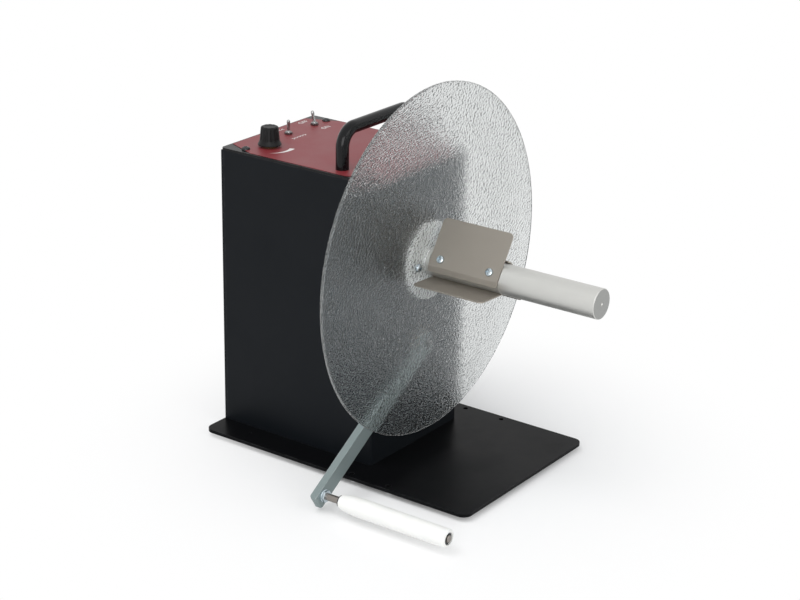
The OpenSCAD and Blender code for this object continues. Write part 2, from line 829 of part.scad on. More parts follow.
// Fluted knob with a flared skirt, hollow below for the nut
module speed_knob() {
    flute_d = 0.24 * knob_neck_d;
    taper = atan((knob_neck_d - knob_top_d) / 2 / (knob_h - knob_skirt_h - knob_rim_h));
    color("#232323") translate([knob_x, knob_y, knob_z]) difference() {
        rotate_extrude() polygon([[0, 0], [knob_skirt_d / 2, 0], [knob_skirt_d / 2, knob_rim_h],
            [knob_neck_d / 2, knob_skirt_h], [knob_top_d / 2, knob_h - knob_rim_h],
            [knob_top_d / 2 - knob_edge, knob_h], [0, knob_h]]);
        for (i = [0 : knob_flutes - 1])
            rotate(360 * i / knob_flutes) translate([knob_neck_d / 2 + 0.34 * flute_d, 0, knob_skirt_h])
                rotate([0, -taper, 0]) cylinder(d = flute_d, h = knob_h);
        translate([0, 0, -eps]) cylinder(d = pot_nut_af / cos(30) + 2, h = eps + pot_bush_rise);
        cylinder(d = pot_shaft_d + 2 * fixed_gap, h = knob_h - knob_cap);
    }
}

module pot_shaft() {
    z0 = pot_bore_z + moving_gap;
    color("#b8bbbe") translate([knob_x, knob_y, z0])
        cylinder(d = pot_shaft_d, h = knob_z + knob_h - knob_cap - 2 * fixed_gap - z0);
}

// Round socket for a barrel plug, with a pin in its bore
module power_inlet() {
    color("#2a2a2c") difference() {
        union() {
            bar_x(inlet_face, box_left, inlet_flange_d, inlet_y, inlet_z);
            bar_x(inlet_face, box_left + inlet_l, inlet_thread_d, inlet_y, inlet_z);
        }
        tube_x(inlet_face - eps, inlet_face + inlet_depth, inlet_bore_d, inlet_pin_d, inlet_y, inlet_z);
        bar_x(inlet_face - eps, inlet_face + inlet_pin_in, inlet_bore_d, inlet_y, inlet_z);
    }
}

module inlet_nut() {
    color("#b9bcbf")
        hex_nut_x(cover_in, inlet_thread_d + 3, inlet_thread_d + 2 * fixed_gap, inlet_nut_t, inlet_y, inlet_z);
}

// Drive inside the box

module bearing_block() {
    color("#8d9297") difference() {
        along_x(block_x0, plate_in) translate([0, spindle_z]) round_rect(block_w, block_w, block_corner_r);
        bar_x(block_x0 - eps, plate_in + eps, bearing_stop_d, 0, spindle_z);
        for (x = bearing_x)
            bar_x(x - eps, x + bearing_w + eps, bearing_d + 2 * fixed_gap, 0, spindle_z);
        for (p = block_screws)
            bar_x(plate_in - block_screw_in - 2, plate_in + eps, block_hole_d, p.x, p.y);
    }
}

module bearing_block_screws() {
    color("#2a2b2e")
        for (p = block_screws)
            translate([box_right, p.x, p.y]) rotate([0, 90, 0])
                pan_screw(block_screw_d, block_head_d, block_head_h, shell_t + drive_t + block_screw_in);
}

module bearing_outer_rings() {
    color("#b5b9bd")
        for (x = bearing_x)
            tube_x(x, x + bearing_w, bearing_d, bearing_d - 2 * ring_wall, 0, spindle_z);
}

module bearing_inner_rings() {
    color("#b5b9bd")
        for (x = bearing_x)
            tube_x(x, x + bearing_w, journal_d + 2 * ring_wall, journal_d + 2 * fixed_gap, 0, spindle_z);
}

module bearing_balls() {
    color("#d9dcdf")
        for (x = bearing_x, i = [0 : ball_count - 1])
            translate([x + bearing_w / 2, 0, spindle_z]) rotate([360 * i / ball_count, 0, 0])
                translate([0, (bearing_d + journal_d) / 4, 0]) sphere(d = ball_d, $fn = 32);
}

// Folded bracket that stands on the base plate and carries the gear motor
module motor_bracket() {
    color("#8f9499") difference() {
        union() {
            translate([bracket_x0, -bracket_w / 2, base_top]) cube([bracket_t, bracket_w, bracket_h]);
            translate([bracket_x0, -bracket_w / 2, base_top])
                cube([bracket_foot + bracket_t, bracket_w, bracket_t]);
        }
        bar_x(bracket_x0 - eps, bracket_x1 + eps, gearbox_boss_d + 2 * fixed_gap, 0, spindle_z);
        for (p = motor_screws_at)
            bar_x(bracket_x0 - eps, bracket_x1 + eps, screw_hole_d, p.x, p.y);
        for (p = bracket_screws)
            translate([p.x, p.y, base_top - eps]) cylinder(d = screw_hole_d, h = bracket_t + 2 * eps);
    }
}

module gearbox() {
    color("#a3a7ab") difference() {
        union() {
            bar_x(gearbox_x0, bracket_x0, gearbox_d, 0, spindle_z);
            bar_x(bracket_x0 - eps, bracket_x1, gearbox_boss_d, 0, spindle_z);
        }
        bar_x(gearbox_x0 + gearbox_end_t, bracket_x1 + eps, tail_d + 2 * running_gap, 0, spindle_z);
        for (p = motor_screws_at)
            bar_x(bracket_x0 - motor_screw_in - 1, bracket_x0 + eps, screw_hole_d, p.x, p.y);
    }
}

module drive_motor() {
    color("#5d6164") {
        bar_x(motor_x0 + motor_cap_t, gearbox_x0, motor_d, 0, spindle_z);
        bar_x(motor_x0, motor_x0 + motor_cap_t + eps, motor_cap_d, 0, spindle_z);
    }
}

module motor_screws() {
    color("#9aa0a6")
        for (p = motor_screws_at)
            translate([bracket_x1, p.x, p.y]) rotate([0, 90, 0])
                pan_screw(screw_d, screw_head_d, screw_head_h, bracket_t + motor_screw_in);
}

module control_board() {
    color("#1d5a38") difference() {
        translate([board_x0, -board_w / 2, board_z]) cube([board_l, board_w, board_t]);
        for (p = standoffs)
            translate([p.x, p.y, board_z - eps]) cylinder(d = peg_d + 2 * fixed_gap, h = board_t + 2 * eps);
    }
}

// Standoffs with a peg that the board is pushed on
module board_standoffs() {
    color("#c9b37a") difference() {
        for (p = standoffs)
            translate([p.x, p.y, base_top]) {
                cylinder(d = standoff_d, h = standoff_h);
                cylinder(d = peg_d, h = standoff_h + board_t + peg_rise);
            }
        for (p = standoffs)
            translate([p.x, p.y, base_top - eps])
                cylinder(d = screw_hole_d, h = base_screw_l - base_t + 2 * eps);
    }
}

// Finned heat sink, two capacitors and a terminal strip, standing on the board
module board_components() {
    z = board_z + board_t;
    x = board_x0 + board_l / 2;
    color("#3a3d40") {
        translate([x - sink.x / 2, sink_y, z]) cube([sink.x, sink_fin_t, sink.z]);
        for (i = [0 : 3])
            translate([x - sink.x / 2 + (sink.x - sink_fin_t) / 3 * i, sink_y, z])
                cube([sink_fin_t, sink.y, sink.z]);
        for (y = capacitor_y)
            translate([x - capacitor_d / 2, y, z]) cylinder(d = capacitor_d, h = capacitor_h);
        translate([x - terminal.x / 2, terminal_y, z]) cube(terminal);
    }
}

// Spindle

// Turned bar: shaft with its chamfered end and centre hole, shoulder, journal and tail. A run-out
// groove ends the flats, and the plain stretch past it takes small cores.
module spindle_shaft() {
    color("#c9ccce") difference() {
        turned_x(0, spindle_z) polygon([[0, tail_x0], [tail_d / 2, tail_x0],
            [tail_d / 2, tail_x1], [journal_d / 2, tail_x1], [journal_d / 2, plate_in],
            [shoulder_d / 2, plate_in], [shoulder_d / 2, shaft_x0], [shaft_r, shaft_x0],
            [shaft_r, groove_x0], [shaft_r - groove_in, groove_x0],
            [shaft_r - groove_in, groove_x0 + groove_w], [shaft_r, groove_x0 + groove_w],
            [shaft_r, shaft_x1 - shaft_chamfer], [shaft_r - shaft_chamfer, shaft_x1],
            [centre_d / 2, shaft_x1], [centre_drill_d / 2, shaft_x1 - centre_in],
            [centre_drill_d / 2, shaft_x1 - centre_drill_in], [0, shaft_x1 - centre_drill_in - 0.4]]);
        translate([0, 0, spindle_z])
            for (a = fin_angles) rotate([a, 0, 0]) {
                translate([fin_x0 - eps, -shaft_d, flat_n]) cube([fin_l + 2 * eps, 2 * shaft_d, shaft_d]);
                for (x = fin_screw_x)
                    translate([x, 0, fin_face - fin_screw_l - eps])
                        cylinder(d = screw_hole_d, h = fin_screw_l + 2 * eps);
            }
    }
}

// Turned disc with a boss, clamped on the shaft behind the clear flange
module hub_flange() {
    color("#bfc3c6") difference() {
        turned_x(0, spindle_z) polygon([[0, shaft_x0], [hub_boss_d / 2, shaft_x0], [hub_boss_d / 2, hub_x0],
            [hub_d / 2, hub_x0], [hub_d / 2, flange_x0], [0, flange_x0]]);
        bar_x(shaft_x0 - eps, flange_x0 + eps, shaft_d + 2 * fixed_gap, 0, spindle_z);
        for (p = flange_screws_at)
            bar_x(hub_x0 - eps, flange_x0 + eps, screw_hole_d, p.x, p.y);
    }
}

module roll_flange() {
    color([0.85, 0.88, 0.9, 0.45]) difference() {
        bar_x(flange_x0, flange_x1, flange_d, 0, spindle_z);
        bar_x(flange_x0 - eps, flange_x1 + eps, shaft_d + 2 * fixed_gap, 0, spindle_z);
        for (p = flange_screws_at)
            bar_x(flange_x0 - eps, flange_x1 + eps, screw_hole_d, p.x, p.y);
    }
}

module flange_screws() {
    color("#8fa3ad")
        for (p = flange_screws_at)
            translate([flange_x1, p.x, p.y]) rotate([0, 90, 0])
                pan_screw(screw_d, screw_head_d, screw_head_h, flange_t + hub_t - 1);
}

// Section of a fin: flat blade, rounded bend and a lip that leans down beside the shaft.
// The first value runs along the blade and the second away from the shaft.
module fin_section() {
    lip = [-fin_lip_l * cos(fin_lip_bend), -fin_lip_l * sin(fin_lip_bend)];
    out = [-fin_t * sin(fin_lip_bend), fin_t * cos(fin_lip_bend)];
    root = [-flat_half, flat_n];
    bend = [for (i = [0 : fin_bend_steps]) let (a = 90 + fin_lip_bend * i / fin_bend_steps)
        root + fin_t * [cos(a), sin(a)]];
    polygon(concat([[fin_tip, flat_n], [fin_tip, fin_face]], bend, [root + lip + out, root + lip, root]));
}

// Outline of a fin seen square on, with round corners at its tip and small ones at its lip
module fin_outline() {
    lip_end = -flat_half - fin_lip_l * cos(fin_lip_bend) - fin_t;
    full_w = fin_tip - lip_end;
    translate([fin_corner_r, lip_end + fin_lip_r]) square([fin_l - 2 * fin_corner_r, full_w - fin_lip_r]);
    translate([fin_lip_r, lip_end]) square([fin_l - 2 * fin_lip_r, full_w - fin_corner_r]);
    translate([0, lip_end + fin_lip_r]) square([fin_l, full_w - fin_corner_r - fin_lip_r]);
    for (x = [fin_corner_r, fin_l - fin_corner_r])
        translate([x, fin_tip - fin_corner_r]) circle(fin_corner_r);
    for (x = [fin_lip_r, fin_l - fin_lip_r])
        translate([x, lip_end + fin_lip_r]) circle(fin_lip_r);
}

// Folded sheet fin, turned about the spindle by angle
module core_fin(angle) {
    color("#a09d98") translate([0, 0, spindle_z]) rotate([angle, 0, 0]) difference() {
        intersection() {
            along_x(fin_x0, fin_x1) fin_section();
            translate([fin_x0, 0, 0]) linear_extrude(fin_face + 1) fin_outline();
        }
        for (x = fin_screw_x)
            translate([x, 0, flat_n - eps]) cylinder(d = screw_hole_d, h = fin_t + 2 * eps);
    }
}

module core_fin_1() {
    core_fin(fin_angles[0]);
}

module core_fin_2() {
    core_fin(fin_angles[1]);
}

module core_fin_3() {
    core_fin(fin_angles[2]);
}

module fin_screws() {
    color("#8fa3ad")
        for (a = fin_angles, x = fin_screw_x)
            translate([0, 0, spindle_z]) rotate([a, 0, 0]) translate([x, 0, fin_face])
                pan_screw(screw_d, screw_head_d, screw_head_h, fin_screw_l);
}

// Clamp coupling with a relief groove in the middle
module shaft_coupling() {
    groove_x0 = (coupling_x0 + coupling_x1 - coupling_groove.x) / 2;
    groove_d = coupling_d - 2 * coupling_groove.y;
    color("#a3a7ab") difference() {
        bar_x(coupling_x0, coupling_x1, coupling_d, 0, spindle_z);
        bar_x(coupling_x0 - eps, coupling_x1 + eps, tail_d + 2 * fixed_gap, 0, spindle_z);
        tube_x(groove_x0, groove_x0 + coupling_groove.x, coupling_d + eps, groove_d, 0, spindle_z);
    }
}

module gearbox_shaft() {
    x0 = gearbox_x0 + gearbox_end_t + moving_gap;
    color("#c9ccce") bar_x(x0, coupling_x0 + coupling_grip, tail_d, 0, spindle_z);
}

// Tension arm

// Flat bar, round at the pivot and square past the roller pin
module tension_arm() {
    color("#7d8a8a") along_x(arm_x0, arm_x1) translate([0, pivot_z]) rotate(180 + arm_rest) difference() {
        union() {
            circle(d = arm_w);
            translate([0, -arm_w / 2]) square([arm_l, arm_w]);
            translate([arm_l, 0]) round_rect(2 * arm_end, arm_w, arm_corner_r);
        }
        circle(d = pivot_d + 2 * fixed_gap);
        translate([arm_l, 0]) circle(d = pin_hole_d);
    }
}

// Shaft through the bush, stepped down where it enters the arm sensor
module pivot_shaft() {
    color("#c9ccce") {
        bar_x(pivot_step_x, arm_x1, pivot_d, 0, pivot_z);
        bar_x(sensor_shaft_x0 + moving_gap, pivot_step_x + eps, sensor_shaft_d, 0, pivot_z);
    }
}

module pivot_bush() {
    color("#b08d57") difference() {
        union() {
            bar_x(bush_x0, box_right + eps, bush_d, 0, pivot_z);
            bar_x(box_right, box_right + bush_flange_t, bush_flange_d, 0, pivot_z);
        }
        bar_x(bush_x0 - eps, box_right + bush_flange_t + eps, pivot_d + 2 * running_gap, 0, pivot_z);
    }
}

module bush_nut() {
    x0 = plate_in - sensor_t - bush_nut_t;
    color("#b9bcbf") hex_nut_x(x0, bush_d + 5, bush_hole_d, bush_nut_t, 0, pivot_z);
}

module pivot_washer() {
    x0 = box_right + bush_flange_t + fixed_gap;
    color("#b9bcbf") tube_x(x0, arm_x0, bush_flange_d - 2, pivot_d + 2 * fixed_gap, 0, pivot_z);
}

// Lever on the pivot shaft that swings between the two stop pins
module stop_lever() {
    color("#8f9499") along_x(stop_x0, stop_x1) translate([0, pivot_z]) difference() {
        union() {
            circle(d = stop_hub_d);
            translate([0, -stop_lever_w / 2]) square([stop_r + stop_pin_d / 2, stop_lever_w]);
        }
        circle(d = pivot_d + 2 * fixed_gap);
    }
}

module stop_pins() {
    color("#c9ccce")
        for (p = stop_points)
            bar_x(stop_x0, wall_in, stop_pin_d, p.x, p.y);
}

// Bent strip under the bush's nut, which holds the arm sensor at the end of the pivot shaft
module sensor_bracket() {
    z0 = pivot_z - sensor_w / 2;
    leg_w = sensor_top_y - sensor_web_y;
    color("#8f9499") difference() {
        union() {
            for (x = [sensor_x1, plate_in - sensor_t])
                along_x(x, x + sensor_t) translate([sensor_web_y, z0]) square([leg_w, sensor_w]);
            along_x(sensor_x1, plate_in) translate([sensor_web_y, z0]) square([sensor_t, sensor_w]);
        }
        bar_x(plate_in - sensor_t - eps, plate_in + eps, bush_hole_d, 0, pivot_z);
        bar_x(sensor_x1 - eps, sensor_x1 + sensor_t + eps, sensor_shaft_d + 2, 0, pivot_z);
    }
}

module arm_sensor() {
    color("#2f4a6b") difference() {
        bar_x(sensor_x1 - sensor_l, sensor_x1, sensor_d, 0, pivot_z);
        bar_x(sensor_shaft_x0, sensor_x1 + eps, sensor_shaft_d + 2 * running_gap, 0, pivot_z);
    }
}

// Tension roller

// Straight pin screwed into the arm, with a groove for a clip at each end of the roller
module roller_pin() {
    color("#8c857c") difference() {
        bar_x(arm_x0, roller_x1 + pin_past_roller, pin_d, pin_y, pin_z);
        for (x = clip_x)
            tube_x(x - fixed_gap, x + clip_t + fixed_gap, pin_d + 1, pin_d - 2 * clip_groove, pin_y, pin_z);
    }
}

// Flanged nut that locks the pin against the arm
module pin_nut() {
    color("#c3cace") {
        hex_nut_x(arm_x1, pin_nut_af, pin_hole_d, pin_nut_t, pin_y, pin_z);
        tube_x(arm_x1, arm_x1 + pin_flange_t, pin_flange_d, pin_hole_d, pin_y, pin_z);
    }
}

// Snap ring in a groove of the pin at each end of the roller
module pin_clips() {
    color("#2e3033")
        for (x = clip_x)
            tube_x(x, x + clip_t, clip_d, pin_d - 2 * clip_groove + 2 * fixed_gap, pin_y, pin_z);
}

// Bullet-shaped sleeve: a rounded nose next to the arm, a very slim taper and a rounded outer edge
function roller_nose(s) = roller_inner_d / 2 + (roller_d - roller_inner_d) / 2 * sqrt(1 - pow(1 - s, 2));

module tension_roller() {
    nose = [for (i = [0 : roller_nose_steps]) let (s = i / roller_nose_steps)
        [roller_nose(pow(s, 1.6)), roller_x0 + roller_nose_l * pow(s, 1.6)]];
    edge = [for (i = [0 : roller_edge_steps]) let (a = 90 * i / roller_edge_steps)
        [roller_outer_d / 2 - roller_edge_r * (1 - cos(a)), roller_x1 - roller_edge_r * (1 - sin(a))]];
    color("#f1f1ee") difference() {
        turned_x(pin_y, pin_z) polygon(concat([[0, roller_x0]], nose, edge, [[0, roller_x1]]));
        bar_x(roller_x0 - eps, roller_x1 + eps, roller_bore_d, pin_y, pin_z);
        for (x = roller_bush_x)
            bar_x(x - eps, x + roller_bush_l + eps, roller_bush_d + 2 * fixed_gap, pin_y, pin_z);
        bar_x(roller_x1 - roller_mouth, roller_x1 + eps, roller_mouth_d, pin_y, pin_z);
    }
}

module roller_bushes() {
    color("#34322f")
        for (x = roller_bush_x)
            tube_x(x, x + roller_bush_l, roller_bush_d, pin_d + 2 * running_gap, pin_y, pin_z);
}

base_plate();
rubber_feet();
base_screws();
housing_shell();
rear_cover();
rear_cover_screws();
drive_plate();
top_panel();
control_label();
top_panel_screws();
carry_handle();
handle_screws();
speed_pot();
pot_nut();
direction_switch();
power_switch();
switch_nuts();
power_inlet();
inlet_nut();
bearing_block();
bearing_block_screws();
bearing_outer_rings();
bearing_balls();
motor_bracket();
gearbox();
drive_motor();
motor_screws();
control_board();
board_standoffs();
board_components();
pivot_bush();
bush_nut();
stop_pins();
sensor_bracket();
arm_sensor();
spindle_shaft();
hub_flange();
roll_flange();
flange_screws();
core_fin_1();
core_fin_2();
core_fin_3();
fin_screws();
bearing_inner_rings();
shaft_coupling();
gearbox_shaft();
tension_arm();
pivot_shaft();
pivot_washer();
stop_lever();
roller_pin();
pin_nut();
pin_clips();
tension_roller();
roller_bushes();
speed_knob();
pot_shaft();
direction_lever();
power_lever();
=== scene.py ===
import math

import bpy
from mathutils import Matrix, Vector


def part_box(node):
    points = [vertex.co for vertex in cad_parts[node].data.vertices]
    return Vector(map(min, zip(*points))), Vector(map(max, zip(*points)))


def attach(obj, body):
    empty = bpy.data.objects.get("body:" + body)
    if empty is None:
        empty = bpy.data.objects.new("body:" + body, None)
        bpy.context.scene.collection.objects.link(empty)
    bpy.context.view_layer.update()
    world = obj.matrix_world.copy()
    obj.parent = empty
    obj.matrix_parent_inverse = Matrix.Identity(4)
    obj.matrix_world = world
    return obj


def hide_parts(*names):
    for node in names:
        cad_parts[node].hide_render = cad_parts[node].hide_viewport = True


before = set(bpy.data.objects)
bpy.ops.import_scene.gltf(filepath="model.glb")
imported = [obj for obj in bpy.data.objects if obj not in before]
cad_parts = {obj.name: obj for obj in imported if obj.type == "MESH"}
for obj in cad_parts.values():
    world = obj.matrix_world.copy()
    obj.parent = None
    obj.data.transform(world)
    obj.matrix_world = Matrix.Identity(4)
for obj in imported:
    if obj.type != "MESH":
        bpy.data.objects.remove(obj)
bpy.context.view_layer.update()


# Base plate
# Laser-cut 3 mm steel sheet with rounded corners, painted semi-gloss black. The machine is screwed
# to it from below, and four bolt holes along its long edges fix it to a bench.
def nothing_selected():
    """Leaves edit mode and deselects everything, so that the next operator acts on its own piece."""
    if bpy.context.mode != "OBJECT":
        bpy.ops.object.mode_set(mode="OBJECT")
    bpy.ops.object.select_all(action="DESELECT")


def make_active(piece):
    """Selects one piece alone, ready for an operator."""
    nothing_selected()
    piece.select_set(True)
    bpy.context.view_layer.objects.active = piece


def apply_modifier(piece, kind, **settings):
    """Adds a modifier with these settings and applies it at once."""
    make_active(piece)
    modifier = piece.modifiers.new(kind.lower(), kind)
    for key, value in settings.items():
        setattr(modifier, key, value)
    bpy.ops.object.modifier_apply(modifier=modifier.name)


def soften(piece, width, segments=2):
    """Rounds the sharp edges of a piece."""
    apply_modifier(piece, "BEVEL", width=width, segments=segments, limit_method="ANGLE",
                   angle_limit=math.radians(40), harden_normals=False)


def softened_copy(node, name, width):
    """Copies a sheet part with its holes, merges its loose triangles and rounds its edges."""
    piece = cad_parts[node].copy()
    piece.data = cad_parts[node].data.copy()
    for key in [key for key in piece.keys() if key.startswith("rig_")]:
        del piece[key]
    piece.parent = None
    piece.name = piece.data.name = name
    bpy.context.scene.collection.objects.link(piece)
    make_active(piece)
    bpy.ops.object.mode_set(mode="EDIT")
    bpy.ops.mesh.select_all(action="SELECT")
    bpy.ops.mesh.customdata_custom_splitnormals_clear()
    bpy.ops.mesh.remove_doubles(threshold=1e-6)
    bpy.ops.mesh.dissolve_limited(angle_limit=math.radians(0.5))
    bpy.ops.object.mode_set(mode="OBJECT")
    soften(piece, width)
    return piece


def fit(piece, finish, body, slot, *nodes):
    """Shades a finished piece, paints it and hangs it on its body in place of the CAD nodes."""
    make_active(piece)
    bpy.ops.object.shade_smooth_by_angle(angle=math.radians(32))
    apply_modifier(piece, "WEIGHTED_NORMAL", keep_sharp=True)
    piece.data.materials.clear()
    piece.data.materials.append(finish)
    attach(piece, body)
    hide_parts(*nodes)


def add_node(tree, kind, values=None, **settings):
    """Adds a shader node, with its settings and the plain values of its inputs."""
    node = tree.nodes.new("ShaderNode" + kind)
    for key, value in settings.items():
        setattr(node, key, value)
    for socket, value in (values or {}).items():
        node.inputs[socket].default_value = value
    return node


def wire(tree, source, out, target, into):
    """Links an output to an input."""
    tree.links.new(source.outputs[out], target.inputs[into])


def wires(tree, *links):
    """Links several outputs to inputs."""
    for link in links:
        wire(tree, *link)


def new_effect(name, inputs, outputs):
    """Starts a node group with number inputs and outputs."""
    effect = bpy.data.node_groups.new(name, "ShaderNodeTree")
    for title, value in inputs.items():
        socket = effect.interface.new_socket(title, in_out="INPUT", socket_type="NodeSocketFloat")
        socket.default_value = value
    for title in outputs:
        effect.interface.new_socket(title, in_out="OUTPUT", socket_type="NodeSocketFloat")
    return effect, effect.nodes.new("NodeGroupInput"), effect.nodes.new("NodeGroupOutput")


def use_effect(tree, effect, **values):
    """Places an effect in a material, with its own values."""
    node = tree.nodes.new("ShaderNodeGroup")
    node.node_tree = effect
    for socket, value in values.items():
        node.inputs[socket].default_value = value
    return node


def new_finish(name, **values):
    """Starts a material whose shader has these plain values, with spaces for underscores."""
    finish = bpy.data.materials.new(name)
    finish.use_nodes = True
    shader = finish.node_tree.nodes["Principled BSDF"]
    for socket, value in values.items():
        shader.inputs[socket.replace("_", " ")].default_value = value
    return finish, finish.node_tree, shader


# The skin of sprayed paint: a fine orange peel and a slow cloudiness in its sheen
paint_skin, skin_in, skin_out = new_effect("paint skin", {"Grain": 900.0}, ("Height", "Mottle"))
skin_place = add_node(paint_skin, "TexCoord")
skin_peel = add_node(paint_skin, "TexNoise", {"Detail": 2.0, "Roughness": 0.45})
skin_cloud = add_node(paint_skin, "TexNoise", {"Scale": 24.0, "Detail": 5.0, "Roughness": 0.62})
wires(paint_skin, (skin_place, "Object", skin_peel, "Vector"), (skin_place, "Object", skin_cloud, "Vector"),
      (skin_in, "Grain", skin_peel, "Scale"), (skin_peel, "Fac", skin_out, "Height"),
      (skin_cloud, "Fac", skin_out, "Mottle"))

# Painted edge highlight: a lighter colour where a rounded normal leaves the true one, broken up by a little
# noise
edge_highlight, edge_in, edge_out = new_effect("painted edge highlight", {"Reach": 0.0012}, ("Mask",))
edge_round = add_node(edge_highlight, "Bevel", samples=6)
edge_flat = add_node(edge_highlight, "NewGeometry")
edge_turn = add_node(edge_highlight, "VectorMath", operation="DOT_PRODUCT")
edge_highlight_mask = add_node(edge_highlight, "MapRange", {"From Min": 0.995, "From Max": 0.86})
edge_place = add_node(edge_highlight, "TexCoord")
edge_noise = add_node(edge_highlight, "TexNoise", {"Scale": 160.0, "Detail": 4.0})
edge_break = add_node(edge_highlight, "MapRange", {"From Min": 0.36, "From Max": 0.66})
edge_highlight_both = add_node(edge_highlight, "Math", operation="MULTIPLY", use_clamp=True)
wires(edge_highlight, (edge_in, "Reach", edge_round, "Radius"), (edge_round, "Normal", edge_turn, 0),
      (edge_flat, "Normal", edge_turn, 1), (edge_turn, "Value", edge_highlight_mask, "Value"),
      (edge_place, "Object", edge_noise, "Vector"), (edge_noise, "Fac", edge_break, "Value"),
      (edge_highlight_mask, "Result", edge_highlight_both, 0), (edge_break, "Result", edge_highlight_both, 1),
      (edge_highlight_both, "Value", edge_out, "Mask"))


def lay_on(tree, shader, colours, tinted_by, sheen, clouded_by, relief, raised_by):
    """Gives a shader two colours, a span of roughness and a relief (strength, depth), each by a mask."""
    tint = add_node(tree, "Mix", {"A": (*colours[0], 1), "B": (*colours[1], 1)}, data_type="RGBA")
    rough = add_node(tree, "MapRange", {"From Min": 0.3, "From Max": 0.7,
                                        "To Min": sheen[0], "To Max": sheen[1]})
    bump = add_node(tree, "Bump", {"Strength": relief[0], "Distance": relief[1]})
    tree.links.new(tinted_by, tint.inputs["Factor"])
    tree.links.new(clouded_by, rough.inputs["Value"])
    tree.links.new(raised_by, bump.inputs["Height"])
    wires(tree, (tint, "Result", shader, "Base Color"), (rough, "Result", shader, "Roughness"),
          (bump, "Normal", shader, "Normal"))


def sprayed_paint(name, colour, edge_highlight_colour, sheen, grain, peel, **values):
    """Sprayed paint on metal: orange peel, cloudy sheen, and a painted highlight of lighter colour along
    rounded edges.
    """
    finish, tree, shader = new_finish(name, **values)
    skin = use_effect(tree, paint_skin, Grain=grain)
    # Painted highlight: a lighter colour laid along the rounded edges
    edge = use_effect(tree, edge_highlight)
    peel_depth = 0.0002
    lay_on(tree, shader, (colour, edge_highlight_colour), edge.outputs["Mask"], sheen, skin.outputs["Mottle"],
           (peel, peel_depth), skin.outputs["Height"])
    return finish


base_paint = sprayed_paint("base semi-gloss black", (0.0034, 0.0036, 0.0042), (0.03, 0.03, 0.032),
                           sheen=(0.26, 0.40), grain=1500.0, peel=0.10, Specular_IOR_Level=0.056)
base_plate = softened_copy("base_plate", "base_plate_painted", 0.0005)
fit(base_plate, base_paint, "frame", "base_black", "base_plate")


# Rubber feet
# Four moulded rubber buttons under the corners of the base plate. Each tapers towards the table
# and has a shallow hollow in its underside.
def settled(name):
    """Names the piece that was just added and puts its place into its mesh."""
    piece = bpy.context.object
    piece.name = piece.data.name = name
    bpy.ops.object.transform_apply()
    return piece


def blank_cylinder(name, sides, radius, low, high, top_radius=None):
    """Adds an upright cylinder or cone from the point low to the height high."""
    nothing_selected()
    height = high - low[2]
    bpy.ops.mesh.primitive_cone_add(vertices=sides, radius1=radius, radius2=top_radius or radius,
                                    depth=height, location=(low[0], low[1], low[2] + height / 2))
    return settled(name)


def select_faces(piece, wanted):
    """Goes into edit mode with the faces selected whose centre and normal are wanted."""
    make_active(piece)
    bpy.ops.object.mode_set(mode="EDIT")
    bpy.ops.mesh.select_mode(type="FACE")
    bpy.ops.mesh.select_all(action="DESELECT")
    bpy.ops.object.mode_set(mode="OBJECT")
    for face in piece.data.polygons:
        face.select = wanted(face.center, face.normal)
    bpy.ops.object.mode_set(mode="EDIT")


def joined(name, pieces):
    """Joins pieces into the first of them."""
    make_active(pieces[0])
    for piece in pieces[1:]:
        piece.select_set(True)
    if len(pieces) > 1:
        bpy.ops.object.join()
    pieces[0].name = pieces[0].data.name = name
    return pieces[0]


def copies(pattern, name, placings):
    """Copies a piece that was modelled at the origin to each place and joins the copies."""
    made = []
    for placing in placings:
        copy = pattern.copy()
        copy.data = pattern.data.copy()
        copy.data.transform(placing)
        bpy.context.scene.collection.objects.link(copy)
        made.append(copy)
    return joined(name, made)


def moulded_plastic(name, colour, sheen, grain, peel, **values):
    """Moulded plastic or rubber: a fine spark-eroded grain, and a colour and sheen that vary a little."""
    finish, tree, shader = new_finish(name, **values)
    skin = use_effect(tree, paint_skin, Grain=grain)
    pale = tuple(min(1.0, 1.25 * part + 0.004) for part in colour)
    grain_depth = 0.0001
    lay_on(tree, shader, (colour, pale), skin.outputs["Mottle"], sheen, skin.outputs["Mottle"],
           (peel, grain_depth), skin.outputs["Height"])
    return finish


foot_rubber = moulded_plastic("foot rubber", (0.018, 0.018, 0.018), (0.62, 0.8), 2600.0, 0.3,
                              Specular_IOR_Level=0.3)
feet_low, feet_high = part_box("rubber_feet")
foot_radius, foot_taper = 0.008, 0.001
foot = blank_cylinder("foot_pattern", 48, foot_radius - foot_taper, (0, 0, 0), feet_high.z, foot_radius)
select_faces(foot, lambda centre, normal: normal.z < -0.9)
bpy.ops.mesh.inset(thickness=0.0028, depth=0)
bpy.ops.mesh.inset(thickness=0.0006, depth=-0.0007)
bpy.ops.object.mode_set(mode="OBJECT")
soften(foot, 0.0004)
foot_places = [Matrix.Translation((x, y, 0))
               for x in (feet_low.x + foot_radius, feet_high.x - foot_radius)
               for y in (feet_low.y + foot_radius, feet_high.y - foot_radius)]
feet = copies(foot, "feet_moulded", foot_places)
bpy.data.objects.remove(foot)
fit(feet, foot_rubber, "frame", "foot_rubber", "rubber_feet")


# Box: folded shell, rear cover and top panel
# The front and sides are one folded 2 mm sheet, the rear is a flat cover plate and the top a panel
# with a thin seam below it. All are powder coated satin black.
powder_coat = sprayed_paint("satin black powder coat", (0.0042, 0.0056, 0.0075), (0.022, 0.024, 0.027),
                            sheen=(0.42, 0.56), grain=1900.0, peel=0.16, Specular_IOR_Level=0.12)
panel_paint = sprayed_paint("panel gloss black", (0.0030, 0.0032, 0.0036), (0.020, 0.020, 0.021),
                            sheen=(0.22, 0.32), grain=1700.0, peel=0.10, Specular_IOR_Level=0.20)
box_sheets = (("housing_shell", 0.0004, powder_coat), ("rear_cover", 0.0005, powder_coat),
              ("top_panel", 0.0005, panel_paint))
for sheet, edge_width, sheet_paint in box_sheets:
    fit(softened_copy(sheet, sheet + "_coated", edge_width), sheet_paint, "frame", "black_powder_coat", sheet)


